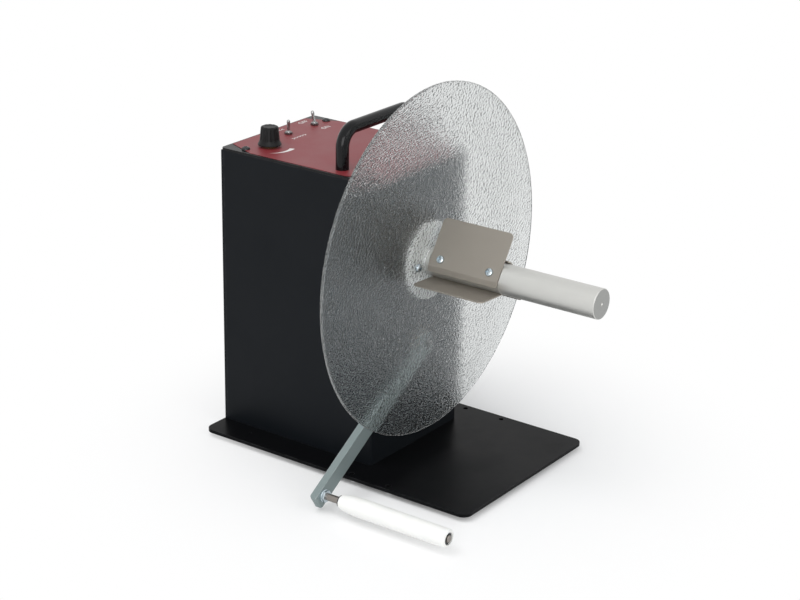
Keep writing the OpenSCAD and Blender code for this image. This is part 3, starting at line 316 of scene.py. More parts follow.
# Control label
# A satin printed film, deep red with white marks, stuck on the top panel. Its corners are cut off
# round the panel's screws. The wedge round the knob shows rising speed.
def paint_over(tree, shader, colour, mask):
    """Lays a colour over a shader's own wherever the mask is 1."""
    over = add_node(tree, "Mix", {"B": (*colour, 1)}, data_type="RGBA")
    tree.links.new(shader.inputs["Base Color"].links[0].from_socket, over.inputs["A"])
    tree.links.new(mask, over.inputs["Factor"])
    wire(tree, over, "Result", shader, "Base Color")


label = softened_copy("control_label", "label_film", 0.00012)
label_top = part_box("control_label")[1].z
knob_low, knob_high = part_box("speed_knob")
knob_middle = (knob_low + knob_high) / 2
wedge_radius = 0.0200
wedge_half = 0.0022
wedge_angles = (math.radians(-52), math.radians(20))
film, film_tree, film_shader = new_finish("red label film", Specular_IOR_Level=0.68)
film_skin = use_effect(film_tree, paint_skin, Grain=700.0)
film_place = add_node(film_tree, "TexCoord")
film_from_knob = add_node(film_tree, "VectorMath", {1: (knob_middle.x, knob_middle.y, 0)},
                          operation="SUBTRACT")
film_flat = add_node(film_tree, "VectorMath", {1: (1, 1, 0)}, operation="MULTIPLY")
film_reach = add_node(film_tree, "VectorMath", operation="LENGTH")
film_parts = add_node(film_tree, "SeparateXYZ")
film_turn = add_node(film_tree, "Math", operation="ARCTAN2")
film_along = add_node(film_tree, "MapRange", {"From Min": wedge_angles[0], "From Max": wedge_angles[1]})
film_width = add_node(film_tree, "Math", {1: wedge_half}, operation="MULTIPLY")
film_off = add_node(film_tree, "Math", {1: wedge_radius}, operation="SUBTRACT")
film_near = add_node(film_tree, "Math", operation="ABSOLUTE")
film_inside = add_node(film_tree, "Math", operation="LESS_THAN")
film_ended = add_node(film_tree, "Math", {1: wedge_angles[1]}, operation="LESS_THAN")
film_wedge = add_node(film_tree, "Math", operation="MULTIPLY")
wires(film_tree, (film_place, "Object", film_from_knob, 0), (film_from_knob, "Vector", film_flat, 0),
      (film_flat, "Vector", film_reach, 0), (film_flat, "Vector", film_parts, "Vector"),
      (film_parts, "Y", film_turn, 0), (film_parts, "X", film_turn, 1),
      (film_turn, "Value", film_along, "Value"), (film_along, "Result", film_width, 0),
      (film_reach, "Value", film_off, 0), (film_off, "Value", film_near, 0),
      (film_near, "Value", film_inside, 0), (film_width, "Value", film_inside, 1),
      (film_turn, "Value", film_ended, 0), (film_inside, "Value", film_wedge, 0),
      (film_ended, "Value", film_wedge, 1))
lay_on(film_tree, film_shader, ((0.165, 0.0150, 0.020), (0.200, 0.020, 0.026)), film_skin.outputs["Mottle"],
       (0.44, 0.54), film_skin.outputs["Mottle"], (0.05, 0.0001), film_skin.outputs["Height"])
paint_over(film_tree, film_shader, (0.72, 0.70, 0.69), film_wedge.outputs["Value"])
fit(label, film, "frame", "label_red", "control_label")


# Printed words
# White print beside the two toggle switches: ON and OFF for the power, and arrowheads for the two
# ways round. They lie on the label and are a hair thick.
def printed_word(name, words, size, place, turn):
    """Sets a short word flat on the label, centred at place, as a thin mesh."""
    nothing_selected()
    bpy.ops.object.text_add(location=place, rotation=(0, 0, turn))
    word = bpy.context.object
    word.data.body = words
    word.data.size = size
    word.data.align_x = "CENTER"
    word.data.align_y = "CENTER"
    word.data.extrude = 0.00003
    bpy.ops.object.convert(target="MESH")
    return settled(name)


white_ink = moulded_plastic("white ink", (0.66, 0.65, 0.64), (0.35, 0.5), 3000.0, 0.1)
switch_nodes = ("direction_switch", "power_switch")
switch_places = [sum(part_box(node), Vector()) / 2 for node in switch_nodes]
print_height = label_top + 0.00002
word_step, word_size = 0.0125, 0.0064
print_words = (("print_left", "<<<<<", 0, -1), ("print_right", ">>>>>", 0, 1),
               ("print_off", "OFF", 1, -1), ("print_on", "ON", 1, 1))
for word_name, words, which, way in print_words:
    word_place = (switch_places[which].x + way * word_step, switch_places[which].y, print_height)
    word = printed_word(word_name, words, word_size, word_place, math.pi / 2)
    fit(word, white_ink, "frame", "label_red")


# Screws of the box
# Pan-head screws with a cross recess: four black ones in the corners of the top panel, six in the
# rear cover, and four larger ones through the front wall into the bearing block.
def close_up():
    """Turns all faces outwards and leaves edit mode."""
    bpy.ops.mesh.select_all(action="SELECT")
    bpy.ops.mesh.normals_make_consistent(inside=False)
    bpy.ops.object.mode_set(mode="OBJECT")


def pull(*by):
    """Extrudes what is selected by this much along X, Y and Z."""
    bpy.ops.mesh.extrude_region_move(TRANSFORM_OT_translate={"value": by})


def turned(name, profile, place, sides=64):
    """Turns a piece on a lathe: each step of the profile is a distance along X and a radius."""
    nothing_selected()
    along, radius = profile[0]
    bpy.ops.mesh.primitive_circle_add(vertices=sides, radius=radius, fill_type="NGON",
                                      location=(along, 0, 0), rotation=(0, math.pi / 2, 0))
    piece = settled(name)
    bpy.ops.object.mode_set(mode="EDIT")
    bpy.ops.mesh.select_all(action="SELECT")
    for next_along, next_radius in profile[1:]:
        pull(next_along - along, 0, 0)
        ratio = next_radius / radius
        bpy.ops.transform.resize(value=(1, ratio, ratio), center_override=(next_along, 0, 0))
        along, radius = next_along, next_radius
    close_up()
    piece.data.transform(place)
    return piece


def blank_block(name, low, high):
    """Adds a block that fills the box from low to high, with its place in its mesh."""
    nothing_selected()
    low, high = Vector(low), Vector(high)
    bpy.ops.mesh.primitive_cube_add(size=1, location=(low + high) / 2, scale=high - low)
    return settled(name)


def cut_away(piece, cutters):
    """Cuts other solids out of a piece and removes them."""
    for cutter in cutters:
        apply_modifier(piece, "BOOLEAN", object=cutter, operation="DIFFERENCE", solver="EXACT")
        bpy.data.objects.remove(cutter)


def pan_screw(name, shank, length, head, height):
    """Models a pan-head screw that points towards -X from the origin, with a cross recess."""
    screw = turned(name, [(-length, shank), (0, shank), (0, head), (0.42 * height, head),
                          (0.72 * height, 0.90 * head), (0.92 * height, 0.66 * head),
                          (height, 0.34 * head)], Matrix(), 40)
    arm, half = 0.54 * head, 0.11 * head
    floor, above = 0.40 * height, 1.4 * height
    cut_away(screw, [blank_block("recess_1", (floor, -arm, -half), (above, arm, half)),
                     blank_block("recess_2", (floor, -half, -arm), (above, half, arm))])
    return screw


upwards = Matrix.Rotation(-math.pi / 2, 4, "Y")
backwards = Matrix.Rotation(math.pi, 4, "Z")
black_screw = sprayed_paint("blackened screw", (0.012, 0.0125, 0.0135), (0.10, 0.10, 0.105),
                            sheen=(0.30, 0.42), grain=2500.0, peel=0.1, Specular_IOR_Level=0.4)
head_radius = 0.0035
small_screw = pan_screw("small_screw_pattern", 0.002, 0.006, head_radius, 0.0024)
top_low, top_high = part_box("top_panel_screws")
panel_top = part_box("top_panel")[1].z
top_turns = iter((0.4, 1.1, 0.7, 0.1))
top_places = [Matrix.Translation((x, y, panel_top)) @ Matrix.Rotation(next(top_turns), 4, "Z") @ upwards
              for x in (top_low.x + head_radius, top_high.x - head_radius)
              for y in (top_low.y + head_radius, top_high.y - head_radius)]
top_screws = copies(small_screw, "top_screws_black", top_places)
fit(top_screws, black_screw, "frame", "black_screw", "top_panel_screws")
rear_low, rear_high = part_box("rear_cover_screws")
rear_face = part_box("rear_cover")[0].x
rear_rows = (rear_low.z + head_radius, (rear_low.z + rear_high.z) / 2, rear_high.z - head_radius)
rear_places = [Matrix.Translation((rear_face, y, z)) @ Matrix.Rotation(0.3 + 40 * z, 4, "X") @ backwards
               for y in (rear_low.y + head_radius, rear_high.y - head_radius) for z in rear_rows]
rear_screws = copies(small_screw, "rear_screws_black", rear_places)
fit(rear_screws, black_screw, "frame", "black_screw", "rear_cover_screws")
block_low, block_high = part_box("bearing_block_screws")
front_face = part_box("housing_shell")[1].x
block_head = 0.0051
block_screw = pan_screw("block_screw_pattern", 0.003, 0.012, block_head, 0.003)
block_places = [Matrix.Translation((front_face, y, z)) @ Matrix.Rotation(0.5 + 9 * y, 4, "X")
                for y in (block_low.y + block_head, block_high.y - block_head)
                for z in (block_low.z + block_head, block_high.z - block_head)]
block_screws = copies(block_screw, "block_screws_black", block_places)
fit(block_screws, black_screw, "frame", "black_screw", "bearing_block_screws")
bpy.data.objects.remove(block_screw)


# Carry handle
# One length of 11 mm steel rod, bent into a bridge with two round bends and painted gloss black.
# Screws from under the panel go up into its legs.
handle_low, handle_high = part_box("carry_handle")
rod = (handle_high.x - handle_low.x) / 2
rod_x = (handle_low.x + handle_high.x) / 2
bend, bend_steps = 0.015, 16
leg_y = handle_high.y - rod
leg_rise = handle_high.z - rod - bend - handle_low.z
nothing_selected()
bpy.ops.mesh.primitive_circle_add(vertices=48, radius=rod, fill_type="NGON",
                                  location=(rod_x, -leg_y, handle_low.z))
handle = settled("handle_rod")
bpy.ops.object.mode_set(mode="EDIT")
bpy.ops.mesh.select_all(action="SELECT")
pull(0, 0, leg_rise)
bend_z = handle_low.z + leg_rise
bpy.ops.mesh.spin(steps=bend_steps, angle=math.pi / 2, center=(rod_x, -leg_y + bend, bend_z), axis=(1, 0, 0))
pull(0, 2 * (leg_y - bend), 0)
bpy.ops.mesh.spin(steps=bend_steps, angle=math.pi / 2, center=(rod_x, leg_y - bend, bend_z), axis=(1, 0, 0))
pull(0, 0, -leg_rise)
bpy.ops.mesh.select_all(action="SELECT")
bpy.ops.mesh.remove_doubles(threshold=1e-6)
close_up()
soften(handle, 0.0005)
handle_paint = sprayed_paint("handle gloss black", (0.0028, 0.0030, 0.0036), (0.02, 0.02, 0.021),
                             sheen=(0.10, 0.18), grain=1100.0, peel=0.05, Specular_IOR_Level=0.25)
fit(handle, handle_paint, "frame", "handle_black", "carry_handle")


# Speed knob
# A fluted black plastic knob with a flared skirt, on the shaft of the speed control. A glint of the
# control's brass nut shows under it.
def select_points(piece, wanted, mode="VERT"):
    """Goes into edit mode with the points selected whose place is wanted."""
    make_active(piece)
    bpy.ops.object.mode_set(mode="EDIT")
    bpy.ops.mesh.select_mode(type="VERT")
    bpy.ops.mesh.select_all(action="DESELECT")
    bpy.ops.object.mode_set(mode="OBJECT")
    for point in piece.data.vertices:
        point.select = wanted(point.co)
    bpy.ops.object.mode_set(mode="EDIT")
    bpy.ops.mesh.select_mode(type=mode)


def upright(x, y, z):
    """Places a piece that was modelled along X so that it stands at this point."""
    return Matrix.Translation((x, y, z)) @ upwards


knob_height = knob_high.z - knob_low.z
knob_skirt = (knob_high.x - knob_low.x) / 2
knob_neck, knob_top = 0.0085, 0.0075
neck_height = 0.0042
knob_profile = [(0, 0.0082), (0, knob_skirt - 0.0003), (0.0003, knob_skirt), (0.0010, knob_skirt),
                (0.0016, knob_skirt - 0.0005), (neck_height, knob_neck), (neck_height + 0.0004, knob_neck),
                (knob_height - 0.0010, knob_top), (knob_height - 0.0003, knob_top - 0.0006),
                (knob_height, knob_top - 0.0013), (knob_height, 0.0045), (knob_height - 0.0003, 0.0040)]
knob = turned("knob_fluted", knob_profile, upright(knob_middle.x, knob_middle.y, knob_low.z), 120)
flutes, flute_share, flute_depth = 10, 0.46, 0.925


def in_flute(place):
    """Tells whether a point of the knob's side lies in one of its flutes."""
    from_axis = place - knob_middle
    turn = math.atan2(from_axis.y, from_axis.x) * flutes / (2 * math.pi)
    on_side = place.z > knob_low.z + neck_height + 0.0002 and from_axis.xy.length > 0.0055
    return on_side and abs(turn - round(turn)) < flute_share / 2


select_points(knob, in_flute)
bpy.ops.transform.resize(value=(flute_depth, flute_depth, 1), center_override=knob_middle)
bpy.ops.object.mode_set(mode="OBJECT")
soften(knob, 0.00012, 1)
knob_plastic = moulded_plastic("knob plastic", (0.0055, 0.0055, 0.0058), (0.34, 0.46), 2600.0, 0.2,
                               Specular_IOR_Level=0.19)
fit(knob, knob_plastic, "knob", "black_plastic", "speed_knob")


# Toggle switches and their nuts
# Two miniature switches under the panel. Each has a threaded bushing through the label, a hexagon
# nut on it and a chromed bat lever.
def plated_metal(name, colour, sheen):
    """Plated or bare small metal: slight clouds in its colour and sheen, and a faint fine grain."""
    finish, tree, shader = new_finish(name, Metallic=1.0)
    skin = use_effect(tree, paint_skin, Grain=2200.0)
    dull = tuple(0.72 * part for part in colour)
    faint_grain = (0.06, 0.0001)
    lay_on(tree, shader, (dull, colour), skin.outputs["Mottle"], sheen, skin.outputs["Mottle"],
           faint_grain, skin.outputs["Height"])
    return finish


chrome = plated_metal("switch chrome", (0.42, 0.42, 0.42), (0.14, 0.24))
nut_nickel = plated_metal("nut nickel", (0.20, 0.19, 0.19), (0.26, 0.38))
brass = plated_metal("brass", (0.80, 0.58, 0.26), (0.18, 0.28))
bush_radius = 0.0025
thread_pitch = 0.0006
bush_profile = [(-0.0026, bush_radius)]
for turn_number in range(6):
    start = turn_number * thread_pitch - 0.0008
    bush_profile += [(start, bush_radius - 0.00022), (start + thread_pitch / 2, bush_radius)]
bush_profile += [(0.0030, bush_radius - 0.0002), (0.0030, 0.0021), (0.0022, 0.0019)]
for node, switch_place in zip(switch_nodes, switch_places):
    x, y = switch_place.xy
    bushing = turned(node + "_bushing", bush_profile, upright(x, y, panel_top), 40)
    body = blank_block(node + "_body", (x - 0.0065, y - 0.004, panel_top - 0.012),
                       (x + 0.0065, y + 0.004, panel_top - 0.002))
    soften(body, 0.0005)
    fit(joined(node + "_bushing", [bushing, body]), chrome, "frame", "switch_chrome", node)

nut_half = 0.0031
nut = blank_cylinder("nut_pattern", 6, nut_half / math.cos(math.pi / 6), (0, 0, 0), 0.002)
soften(nut, 0.0003, 2)
nut_places = [Matrix.Translation((place.x, place.y, label_top)) @ Matrix.Rotation(0.35 * number, 4, "Z")
              for number, place in enumerate(switch_places)]
fit(copies(nut, "switch_nuts_hexagon", nut_places), nut_nickel, "frame", "switch_chrome", "switch_nuts")
bpy.data.objects.remove(nut)

levers = (("direction_lever", "direction_toggle", 0.0), ("power_lever", "power_toggle", math.radians(-14)))
lever_profile = [(-0.0030, 0.0009), (-0.0014, 0.0009), (-0.0010, 0.0016), (0.0010, 0.0016), (0.0016, 0.0012),
                 (0.0066, 0.0013), (0.0084, 0.00152), (0.0098, 0.00150), (0.0106, 0.00118), (0.0110, 0.0006)]
lever_pivot = panel_top + 0.002
for (node, body, lean), switch_place in zip(levers, switch_places):
    lever_place = Matrix.Translation((*switch_place.xy, lever_pivot)) @ Matrix.Rotation(lean, 4, "Y") @ upwards
    fit(turned(node + "_bat", lever_profile, lever_place, 32), chrome, body, "switch_chrome", node)


# Spindle, hub and clear flange
# The spindle is a turned and satin-polished aluminium bar with a centre hole in its end. The flange
# is a sheet of clear plastic with a pebbled face, screwed to a turned hub.
def cloud_marks(effect, place, lines, out, share, noise):
    """Puts out tool marks as a height, and mixed with a cloud noise (scale, detail, roughness)."""
    cloud = add_node(effect, "TexNoise", dict(zip(("Scale", "Detail", "Roughness"), noise)))
    mix = add_node(effect, "Mix", {"Factor": share}, data_type="FLOAT")
    wires(effect, (place, "Object", cloud, "Vector"), (lines, "Fac", mix, "A"), (cloud, "Fac", mix, "B"),
          (lines, "Fac", out, "Height"), (mix, "Result", out, "Streak"))


# Tool marks of a lathe: fine rings round X
ring_marks, rings_in, rings_out = new_effect("turning rings", {"Density": 2600.0}, ("Height", "Streak"))
rings_place = add_node(ring_marks, "TexCoord")
rings_parts = add_node(ring_marks, "SeparateXYZ")
rings_scale = add_node(ring_marks, "Math", operation="MULTIPLY")
rings_fine = add_node(ring_marks, "TexNoise", {"Scale": 1.0, "Detail": 3.0, "Roughness": 0.7},
                      noise_dimensions="1D")
wires(ring_marks, (rings_place, "Object", rings_parts, "Vector"), (rings_parts, "X", rings_scale, 0),
      (rings_in, "Density", rings_scale, 1), (rings_scale, "Value", rings_fine, "W"))
cloud_marks(ring_marks, rings_place, rings_fine, rings_out, 0.4, (60.0, 4.0, 0.6))


def tooled_metal(name, marks, colour, dull, sheen, density, strength, metallic=1.0):
    """Turned or brushed metal: fine tool marks in its colour, sheen and surface."""
    finish, tree, shader = new_finish(name, Metallic=metallic)
    tooling = use_effect(tree, marks, Density=density)
    mark_depth = 0.00005
    lay_on(tree, shader, (dull, colour), tooling.outputs["Streak"], sheen, tooling.outputs["Streak"],
           (strength, mark_depth), tooling.outputs["Height"])
    return finish


shaft_low, shaft_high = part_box("spindle_shaft")
flange_low, flange_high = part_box("roll_flange")
hub_low, hub_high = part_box("hub_flange")
fin_low, fin_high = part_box("core_fin_1")
axis_z = (flange_low.z + flange_high.z) / 2
on_axis = Matrix.Translation((0, 0, axis_z))
shaft_radius, shoulder_radius, bearing_radius, tail_radius = 0.0127, 0.012, 0.010, 0.006
plate_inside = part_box("drive_plate")[0].x
tail_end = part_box("shaft_coupling")[1].x + 0.001
end = shaft_high.x
groove, groove_width = fin_high.x + 0.0002, 0.0010
groove_radius = shaft_radius - 0.0003
shaft_profile = [(shaft_low.x, tail_radius - 0.0004), (shaft_low.x + 0.0004, tail_radius),
                 (tail_end, tail_radius), (tail_end, bearing_radius), (plate_inside, bearing_radius),
                 (plate_inside, shoulder_radius), (hub_low.x, shoulder_radius), (hub_low.x, shaft_radius),
                 (groove, shaft_radius), (groove, groove_radius),
                 (groove + groove_width, groove_radius), (groove + groove_width, shaft_radius),
                 (end - 0.0008, shaft_radius), (end - 0.0003, shaft_radius - 0.00032),
                 (end, shaft_radius - 0.0009), (end, 0.0017), (end - 0.0018, 0.0006), (end - 0.0040, 0.0006)]
spindle = turned("spindle_bar", shaft_profile, on_axis, 96)
fin_turn = math.radians(57)
fin_places = [on_axis @ Matrix.Rotation(fin_turn + number * 2 * math.pi / 3, 4, "X") for number in range(3)]
flat_height = shaft_radius - 0.0016
flat_cutters = []
for fin_place in fin_places:
    flat = blank_block("flat_cutter", (fin_low.x - 0.0005, -0.02, flat_height),
                       (groove + 0.0005, 0.02, 0.02))
    flat.data.transform(fin_place)
    flat_cutters.append(flat)
cut_away(spindle, flat_cutters)
satin_aluminium = tooled_metal("satin turned aluminium", ring_marks, (0.64, 0.64, 0.615),
                               (0.57, 0.568, 0.546), (0.36, 0.48), 3200.0, 0.12, metallic=0.8)
# Painted shade: the bar's end face gets a darker colour than the polished side, because it gets less light
bar_tree = satin_aluminium.node_tree
bar_place = add_node(bar_tree, "TexCoord")
bar_parts = add_node(bar_tree, "SeparateXYZ")
end_face_shade = add_node(bar_tree, "Math", {1: end - 0.0002}, operation="GREATER_THAN")
wire(bar_tree, bar_place, "Object", bar_parts, "Vector")
wire(bar_tree, bar_parts, "X", end_face_shade, 0)
paint_over(bar_tree, bar_tree.nodes["Principled BSDF"], (0.345, 0.350, 0.340), end_face_shade.outputs["Value"])
fit(spindle, satin_aluminium, "spindle", "turned_aluminium", "spindle_shaft")

hub_radius, boss_radius, hub_bore, hub_edge = 0.033, 0.020, shaft_radius + 0.0001, 0.0006
hub_step = hub_high.x - 0.006
hub_face = hub_high.x - 0.00005
hub_profile = [(hub_low.x, hub_bore), (hub_low.x, boss_radius - hub_edge), (hub_low.x + hub_edge, boss_radius),
               (hub_step, boss_radius), (hub_step, hub_radius - hub_edge), (hub_step + hub_edge, hub_radius),
               (hub_high.x - 0.0005, hub_radius), (hub_face, hub_radius - 0.0005), (hub_face, hub_bore)]
# Painted light: the hub's colour is raised almost to white, to make up for the light that the clear flange
# holds back from it
hub_aluminium_painted_light = tooled_metal("hub aluminium whitened as painted light", ring_marks, (0.96, 0.965, 0.96), (0.90, 0.905, 0.90),
                             (0.46, 0.60), 2400.0, 0.12, metallic=0.1)
fit(turned("hub_turned", hub_profile, on_axis, 96), hub_aluminium_painted_light, "spindle", "turned_aluminium", "hub_flange")

disc_radius = (flange_high.z - flange_low.z) / 2
disc_bore = shaft_radius + 0.0002
disc_edge = 0.0005
disc_profile = [(flange_low.x, disc_bore), (flange_low.x, disc_radius - disc_edge),
                (flange_low.x + disc_edge, disc_radius), (flange_high.x - disc_edge, disc_radius),
                (flange_high.x, disc_radius - disc_edge), (flange_high.x, disc_bore)]
disc = turned("clear_flange", disc_profile, on_axis, 256)
select_faces(disc, lambda centre, normal: (centre - Vector((centre.x, 0, axis_z))).length < 0.001)
bpy.ops.mesh.bridge_edge_loops()
close_up()
clear_sheet, sheet_tree, sheet_shader = new_finish("pebbled clear sheet", Transmission_Weight=1.0, IOR=1.49,
                                                    Roughness=0.08, Specular_Tint=(0.80, 0.94, 1.0, 1))
sheet_place = add_node(sheet_tree, "TexCoord")
sheet_flat = add_node(sheet_tree, "VectorMath", {1: (0, 0.68, 1)}, operation="MULTIPLY")
sheet_cells = add_node(sheet_tree, "TexVoronoi", {"Scale": 640.0, "Smoothness": 0.35, "Randomness": 1.0},
                       feature="SMOOTH_F1")
sheet_waves = add_node(sheet_tree, "TexNoise", {"Scale": 800.0, "Detail": 1.0, "Roughness": 0.5})
sheet_relief = add_node(sheet_tree, "Mix", {"Factor": 0.5}, data_type="FLOAT")
sheet_spread = add_node(sheet_tree, "MapRange", {"From Min": 0.30, "From Max": 0.62})
sheet_tint = add_node(sheet_tree, "Mix", {"A": (0.695, 0.712, 0.708, 1), "B": (0.745, 0.763, 0.760, 1)},
                      data_type="RGBA")
sheet_bump = add_node(sheet_tree, "Bump", {"Strength": 1.0, "Distance": 0.0009})
wires(sheet_tree, (sheet_place, "Object", sheet_flat, 0), (sheet_flat, "Vector", sheet_cells, "Vector"),
      (sheet_flat, "Vector", sheet_waves, "Vector"), (sheet_cells, "Distance", sheet_relief, "A"),
      (sheet_waves, "Fac", sheet_relief, "B"), (sheet_relief, "Result", sheet_bump, "Height"),
      (sheet_relief, "Result", sheet_spread, "Value"), (sheet_spread, "Result", sheet_tint, "Factor"),
      (sheet_tint, "Result", sheet_shader, "Base Color"), (sheet_bump, "Normal", sheet_shader, "Normal"))
# Shadow rays pass, so that light reaches the hub and the arm behind the sheet
sheet_ray = add_node(sheet_tree, "LightPath")
sheet_pass = add_node(sheet_tree, "BsdfTransparent", {"Color": (0.96, 0.97, 0.97, 1)})
sheet_mix = add_node(sheet_tree, "MixShader")
wires(sheet_tree, (sheet_ray, "Is Shadow Ray", sheet_mix, 0), (sheet_shader, 0, sheet_mix, 1),
      (sheet_pass, 0, sheet_mix, 2), (sheet_mix, 0, sheet_tree.nodes["Material Output"], "Surface"))
fit(disc, clear_sheet, "spindle", "clear_sheet", "roll_flange")

zinc = plated_metal("blue zinc plate", (0.60, 0.68, 0.73), (0.20, 0.34))
flange_screw_radius = 0.0225
flange_seat = Matrix.Translation((flange_high.x, flange_screw_radius, 0))
flange_places = [on_axis @ Matrix.Rotation(math.radians(turn), 4, "X") @ flange_seat for turn in (180, 300, 60)]
fit(copies(small_screw, "flange_screws_zinc", flange_places), zinc, "spindle", "zinc_plate", "flange_screws")


# Core fins
# Three folded stainless sheets, screwed to flats on the spindle, that wedge inside a paper core.
# Each has a flat blade with rounded corners and a short lip bent down beside the spindle.
brush_marks, brush_in, brush_out = new_effect("brushed grain", {"Density": 1500.0}, ("Height", "Streak"))
brush_place = add_node(brush_marks, "TexCoord")
brush_stretch = add_node(brush_marks, "VectorMath", {1: (0.02, 1, 1)}, operation="MULTIPLY")
brush_lines = add_node(brush_marks, "TexNoise", {"Detail": 3.0, "Roughness": 0.7})
wires(brush_marks, (brush_place, "Object", brush_stretch, 0),
      (brush_stretch, "Vector", brush_lines, "Vector"), (brush_in, "Density", brush_lines, "Scale"))
cloud_marks(brush_marks, brush_place, brush_lines, brush_out, 0.45, (55.0, 5.0, 0.62))

fin_steel = tooled_metal("brushed stainless fin", brush_marks, (0.43, 0.398, 0.354), (0.328, 0.303, 0.268),
                         (0.54, 0.68), 1500.0, 0.15)
fin_sheet = 0.0012
fin_reach = 0.0376
fin_tip = math.sqrt(fin_reach ** 2 - (flat_height + fin_sheet) ** 2)
fin_root = -math.sqrt(shaft_radius ** 2 - flat_height ** 2)
fin_lip, lip_bend = 0.0045, math.radians(26)
tip_corner, lip_corner = 0.004, 0.0025
nothing_selected()
bpy.ops.mesh.primitive_plane_add(
    size=1, location=((fin_low.x + fin_high.x) / 2, (fin_root + fin_tip) / 2, flat_height))
bpy.context.object.scale = (fin_high.x - fin_low.x, fin_tip - fin_root, 1)
fin = settled("fin_pattern")
select_points(fin, lambda place: place.y < fin_root + 1e-5, "EDGE")
bpy.ops.mesh.spin(steps=6, angle=lip_bend, center=(0, fin_root, flat_height - 0.0008), axis=(-1, 0, 0))
pull(0, -fin_lip * math.cos(lip_bend), -fin_lip * math.sin(lip_bend))
bpy.ops.object.mode_set(mode="OBJECT")
lip_end = min(point.co.y for point in fin.data.vertices)
select_points(fin, lambda place: place.y > fin_tip - 1e-5)
bpy.ops.mesh.bevel(offset=tip_corner, segments=10, affect="VERTICES")
select_points(fin, lambda place: place.y < lip_end + 1e-5)
bpy.ops.mesh.bevel(offset=lip_corner, segments=5, affect="VERTICES")
close_up()
if sum(face.normal.z for face in fin.data.polygons) < 0:
    fin.data.flip_normals()
apply_modifier(fin, "SOLIDIFY", thickness=fin_sheet, offset=1.0, use_even_offset=True)
soften(fin, 0.00015, 2)
for number, fin_place in enumerate(fin_places, 1):
    fin_piece = copies(fin, "fin_sheet_%d" % number, [fin_place])
    fit(fin_piece, fin_steel, "spindle", "fin_steel", "core_fin_%d" % number)
bpy.data.objects.remove(fin)
fin_screw_in = 0.010
fin_screw_places = [fin_place @ upright(x, 0, flat_height + fin_sheet) for fin_place in fin_places
                    for x in (fin_low.x + fin_screw_in, fin_high.x - fin_screw_in)]
fit(copies(small_screw, "fin_screws_zinc", fin_screw_places), zinc, "spindle", "zinc_plate", "fin_screws")
bpy.data.objects.remove(small_screw)


# Tension arm
# A flat bar with rounded ends and satin grey-green paint, clamped on its pivot shaft behind the
# clear flange. It hangs beside the base plate and swings up with the web.
arm_low, arm_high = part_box("tension_arm")
pivot_low, pivot_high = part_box("pivot_shaft")
pin_low, pin_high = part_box("roller_pin")
pivot_at = Vector((0, (pivot_low.y + pivot_high.y) / 2, (pivot_low.z + pivot_high.z) / 2))
pin_at = Vector((0, (pin_low.y + pin_high.y) / 2, (pin_low.z + pin_high.z) / 2))
arm_half, arm_end = 0.007, 0.0095
pivot_corner, end_corner = 0.90 * arm_half, 0.003
arm_length = (pin_at - pivot_at).length
arm_turn = math.atan2(pin_at.z - pivot_at.z, pin_at.y - pivot_at.y)
arm = blank_block("arm_bar", (arm_low.x, -arm_half, -arm_half), (arm_high.x, arm_length + arm_end, arm_half))
for end_y, corner in ((-arm_half, pivot_corner), (arm_length + arm_end, end_corner)):
    select_points(arm, lambda place: abs(place.y - end_y) < 1e-5, "EDGE")
    bpy.ops.object.mode_set(mode="OBJECT")
    for edge in arm.data.edges:
        one, other = (arm.data.vertices[index].co for index in edge.vertices)
        edge.select = edge.select and abs(one.x - other.x) > 1e-4
    bpy.ops.object.mode_set(mode="EDIT")
    bpy.ops.mesh.bevel(offset=corner, segments=16, affect="EDGES")
    bpy.ops.object.mode_set(mode="OBJECT")
soften(arm, 0.0007, 3)
arm.data.transform(Matrix.Translation(pivot_at) @ Matrix.Rotation(arm_turn, 4, "X"))
arm_paint = sprayed_paint("arm grey", (0.215, 0.262, 0.262), (0.42, 0.46, 0.46),
                          sheen=(0.34, 0.48), grain=1500.0, peel=0.08, Specular_IOR_Level=0.5, Metallic=0.35)
fit(arm, arm_paint, "arm", "arm_grey", "tension_arm")


# Roller pin, nut and snap rings
# A ground steel pin screwed into the arm's end and locked with a flanged nut. Two snap rings in
# grooves keep the roller in its place.
pin_radius = 0.003
ring_low, ring_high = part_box("pin_clips")
pin_groove = 0.0005
on_pin = Matrix.Translation(pin_at)
pin_profile = [(pin_low.x, pin_radius - 0.0005), (pin_low.x + 0.0005, pin_radius)]
for groove_x in (ring_low.x - 0.0001, ring_high.x - 0.0009):
    pin_profile += [(groove_x, pin_radius), (groove_x, pin_radius - pin_groove),
                    (groove_x + 0.0010, pin_radius - pin_groove), (groove_x + 0.0010, pin_radius)]
pin_profile += [(pin_high.x - 0.0004, pin_radius), (pin_high.x, pin_radius - 0.0004)]
pin_steel = tooled_metal("ground pin steel", ring_marks, (0.33, 0.305, 0.28), (0.22, 0.20, 0.185),
                         (0.28, 0.42), 1800.0, 0.12)
fit(turned("pin_ground", pin_profile, on_pin, 48), pin_steel, "arm", "pin_steel", "roller_pin")

pin_nut_half, pin_nut_height = 0.0047, 0.0034
flange_nut = blank_cylinder("pin_nut_flanged", 6, pin_nut_half / math.cos(math.pi / 6), (0, 0, 0),
                            pin_nut_height)
soften(flange_nut, 0.0004, 2)
nut_flange = turned("nut_flange", [(0, 0.0053), (0.0007, 0.0054), (0.0010, 0.0052), (0.0016, 0.0042)],
                    upwards, 40)
joined("pin_nut_flanged", [flange_nut, nut_flange])
flange_nut.data.transform(Matrix.Translation((arm_high.x, pin_at.y, pin_at.z))
                          @ Matrix.Rotation(math.pi / 2, 4, "Y"))
fit(flange_nut, zinc, "arm", "zinc_plate", "pin_nut")

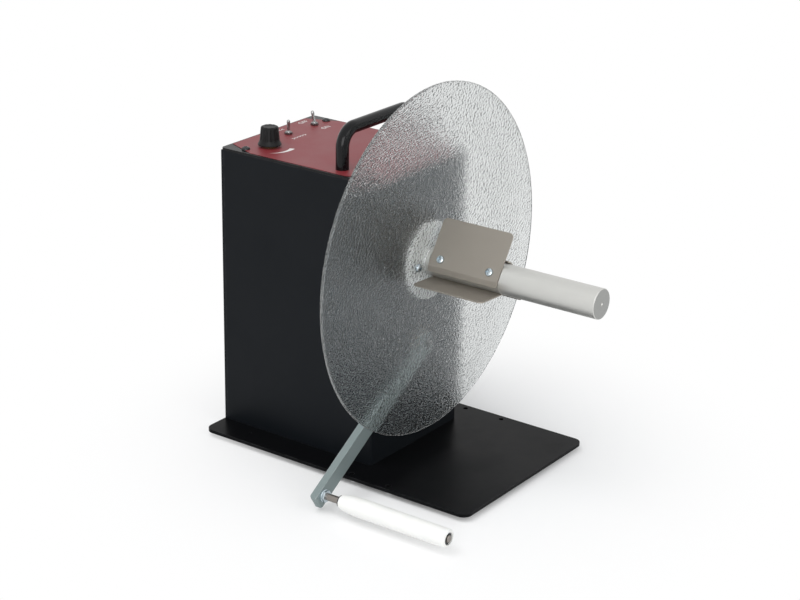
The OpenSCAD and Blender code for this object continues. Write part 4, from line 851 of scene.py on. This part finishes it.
ring_thick = 0.0008
ring_profile = [(0, 0.0026), (0, 0.0048), (0.0001, 0.0049), (ring_thick - 0.0001, 0.0049),
                (ring_thick, 0.0048), (ring_thick, 0.0026)]
snap_ring = turned("snap_ring_pattern", ring_profile, Matrix(), 40)
ring_places = [on_pin @ Matrix.Translation((x, 0, 0)) for x in (ring_low.x, ring_high.x - ring_thick)]
fit(copies(snap_ring, "snap_rings", ring_places), black_screw, "arm", "black_screw", "pin_clips")
bpy.data.objects.remove(snap_ring)


# Tension roller
# A bullet-shaped sleeve turned from white nylon, loose on the pin: a rounded nose next to the
# arm, a very slim taper, and a rounded outer end with a mouth. Two dark bushes are pressed in it.
roller_low, roller_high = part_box("tension_roller")
roller_radius = (roller_high.y - roller_low.y) / 2
nose_radius, outer_radius = 0.0050, 0.0078
nose_length = 0.024
edge_radius = 0.0024
mouth_radius, mouth_depth = 0.0052, 0.0024
roller_profile = [(roller_low.x + 0.0008, 0.0042), (roller_low.x, 0.0043)]
nose_steps = 28
for step in range(nose_steps + 1):
    share = (step / nose_steps) ** 1.6
    roller_profile.append((roller_low.x + nose_length * share,
                           nose_radius + (roller_radius - nose_radius) * math.sqrt(1 - (1 - share) ** 2)))
edge_steps = 10
for step in range(edge_steps + 1):
    turn = math.pi / 2 * step / edge_steps
    roller_profile.append((roller_high.x - edge_radius * (1 - math.sin(turn)),
                           outer_radius - edge_radius * (1 - math.cos(turn))))
roller_profile += [(roller_high.x - 0.0002, mouth_radius), (roller_high.x - mouth_depth, mouth_radius)]
roller = turned("roller_nylon", roller_profile, on_pin, 72)
white_nylon = moulded_plastic("white nylon", (0.76, 0.76, 0.74), (0.40, 0.54), 1400.0, 0.10,
                              Subsurface_Weight=0.08, Subsurface_Radius=(0.002, 0.0018, 0.0015),
                              Specular_IOR_Level=0.4)
fit(roller, white_nylon, "roller", "white_nylon", "tension_roller")


# Fixed and hidden parts
# The bush and nuts at the front wall, the bearings, gear motor, board and sensor inside the box, the
# inlet at the rear and the screws under the plate keep their exact solids and get their finishes.
def dress(finish, *nodes):
    """Gives exact parts a finish."""
    for node in nodes:
        for material_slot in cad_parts[node].material_slots:
            material_slot.material = finish


bronze = plated_metal("turned bronze", (0.48, 0.33, 0.16), (0.28, 0.42))
bright_steel = tooled_metal("bright steel", ring_marks, (0.56, 0.56, 0.56), (0.42, 0.42, 0.42),
                            (0.22, 0.36), 2400.0, 0.1)
mill_steel = tooled_metal("mill steel", brush_marks, (0.44, 0.45, 0.46), (0.32, 0.33, 0.34),
                          (0.36, 0.52), 1100.0, 0.12)
machined_aluminium = tooled_metal("machined aluminium", brush_marks, (0.56, 0.57, 0.58), (0.44, 0.45, 0.46),
                                  (0.32, 0.48), 1300.0, 0.12)
motor_paint = sprayed_paint("motor grey", (0.10, 0.105, 0.11), (0.30, 0.30, 0.30),
                            sheen=(0.36, 0.5), grain=1400.0, peel=0.1)
inlet_plastic = moulded_plastic("inlet plastic", (0.014, 0.014, 0.015), (0.32, 0.46), 2600.0, 0.2)
board_mask = moulded_plastic("board green", (0.010, 0.075, 0.030), (0.26, 0.4), 1800.0, 0.15)
sensor_plastic = moulded_plastic("sensor blue", (0.03, 0.06, 0.14), (0.36, 0.5), 2000.0, 0.15)
standoff_nylon = moulded_plastic("standoff nylon", (0.42, 0.38, 0.28), (0.4, 0.55), 2000.0, 0.15)
dress(bronze, "pivot_bush")
dress(brass, "pot_nut")
dress(zinc, "base_screws", "handle_screws", "inlet_nut", "motor_screws", "bush_nut", "pivot_washer")
dress(bright_steel, "pivot_shaft", "pot_shaft", "gearbox_shaft", "stop_pins", "bearing_outer_rings",
      "bearing_inner_rings", "bearing_balls")
dress(mill_steel, "drive_plate", "motor_bracket", "stop_lever", "sensor_bracket", "speed_pot")
dress(machined_aluminium, "bearing_block", "gearbox", "shaft_coupling")
dress(motor_paint, "drive_motor", "board_components")
dress(inlet_plastic, "power_inlet", "roller_bushes")
dress(board_mask, "control_board")
dress(sensor_plastic, "arm_sensor")
dress(standoff_nylon, "board_standoffs")


# Camera
# It looks down on the spindle's side from the right, where the picture was taken from.
azimuth, elevation, roll = math.radians(35.699), math.radians(21.113), math.radians(0.931)
level_right = Vector((math.cos(azimuth), math.sin(azimuth), 0))
towards_camera = Vector((math.sin(azimuth) * math.cos(elevation), -math.cos(azimuth) * math.cos(elevation),
                         math.sin(elevation)))
level_up = towards_camera.cross(level_right)
camera_right = math.cos(roll) * level_right + math.sin(roll) * level_up
camera_up = math.cos(roll) * level_up - math.sin(roll) * level_right
lens = bpy.data.cameras.new("camera")
lens.sensor_fit = "HORIZONTAL"
lens.sensor_width = 36.0
lens.lens = 92.57
lens.clip_end = 50.0
camera = bpy.data.objects.new("camera", lens)
camera.matrix_world = Matrix.Translation((0.92003, -1.31557, 0.75840)) @ Matrix(
    (camera_right, camera_up, towards_camera)).transposed().to_4x4()
bpy.context.scene.collection.objects.link(camera)
bpy.context.scene.camera = camera


# Studio
# A white floor that fades into a white room, a large soft lamp overhead towards the left, one in
# front beside the camera and a weaker one at the right.
def seen_rays(tree):
    """Puts out 1 for rays from the camera, mirrored in polished parts or seen through clear ones."""
    ray = add_node(tree, "LightPath")
    mirrored = add_node(tree, "Math", operation="MAXIMUM")
    through = add_node(tree, "Math", operation="MAXIMUM")
    wires(tree, (ray, "Is Camera Ray", mirrored, 0), (ray, "Is Glossy Ray", mirrored, 1),
          (mirrored, "Value", through, 0), (ray, "Is Transmission Ray", through, 1))
    return through


nothing_selected()
bpy.ops.mesh.primitive_plane_add(size=12, location=(0, 0, -0.0002))
floor = bpy.context.object
floor.name = floor.data.name = "floor"
floor_paper, paper_tree, paper_shader = new_finish("floor paper", Base_Color=(0.93, 0.93, 0.93, 1),
                                                   Roughness=0.9, Specular_IOR_Level=0.1)
paper_place = add_node(paper_tree, "TexCoord")
paper_reach = add_node(paper_tree, "VectorMath", operation="LENGTH")
paper_fade = add_node(paper_tree, "MapRange", {"From Min": 0.04, "From Max": 0.32},
                      interpolation_type="SMOOTHSTEP")
paper_share = add_node(paper_tree, "Math", operation="MULTIPLY")
paper_white = add_node(paper_tree, "Emission", {"Color": (1, 1, 1, 1), "Strength": 1.0})
paper_mix = add_node(paper_tree, "MixShader")
wires(paper_tree, (paper_place, "Object", paper_reach, 0), (paper_reach, "Value", paper_fade, "Value"),
      (seen_rays(paper_tree), "Value", paper_share, 0), (paper_fade, "Result", paper_share, 1),
      (paper_share, "Value", paper_mix, 0), (paper_shader, 0, paper_mix, 1), (paper_white, 0, paper_mix, 2),
      (paper_mix, 0, paper_tree.nodes["Material Output"], "Surface"))
floor.data.materials.append(floor_paper)

room = bpy.data.worlds.new("room")
bpy.context.scene.world = room
room.use_nodes = True
room_tree = room.node_tree
room_light = room_tree.nodes["Background"]
room_light.inputs["Color"].default_value = (0.96, 0.98, 1.0, 1)
room_light.inputs["Strength"].default_value = 0.55
room_white = add_node(room_tree, "Background", {"Color": (1, 1, 1, 1), "Strength": 1.0})
room_mix = add_node(room_tree, "MixShader")
wires(room_tree, (seen_rays(room_tree), "Value", room_mix, 0), (room_light, 0, room_mix, 1),
      (room_white, 0, room_mix, 2), (room_mix, 0, room_tree.nodes["World Output"], "Surface"))


def soft_lamp(name, place, size, power, mirrored):
    """Hangs a square soft lamp that faces the machine, mirrored by polished parts or not."""
    lamp = bpy.data.lights.new(name, "AREA")
    lamp.shape = "SQUARE"
    lamp.size = size
    lamp.energy = power
    holder = bpy.data.objects.new(name, lamp)
    machine_middle = Vector((0, 0, 0.14))
    facing = (machine_middle - Vector(place)).to_track_quat("-Z", "Y")
    holder.matrix_world = Matrix.Translation(place) @ facing.to_matrix().to_4x4()
    holder.visible_glossy = mirrored
    bpy.context.scene.collection.objects.link(holder)


soft_lamp("lamp_overhead", (-0.5, -0.9, 2.2), 1.6, 23.0, False)
soft_lamp("lamp_front", (1.0, -1.9, 1.0), 1.4, 18.0, True)
soft_lamp("lamp_right", (1.9, -0.2, 1.3), 1.2, 6.0, True)
bpy.context.scene.view_settings.view_transform = "Standard"
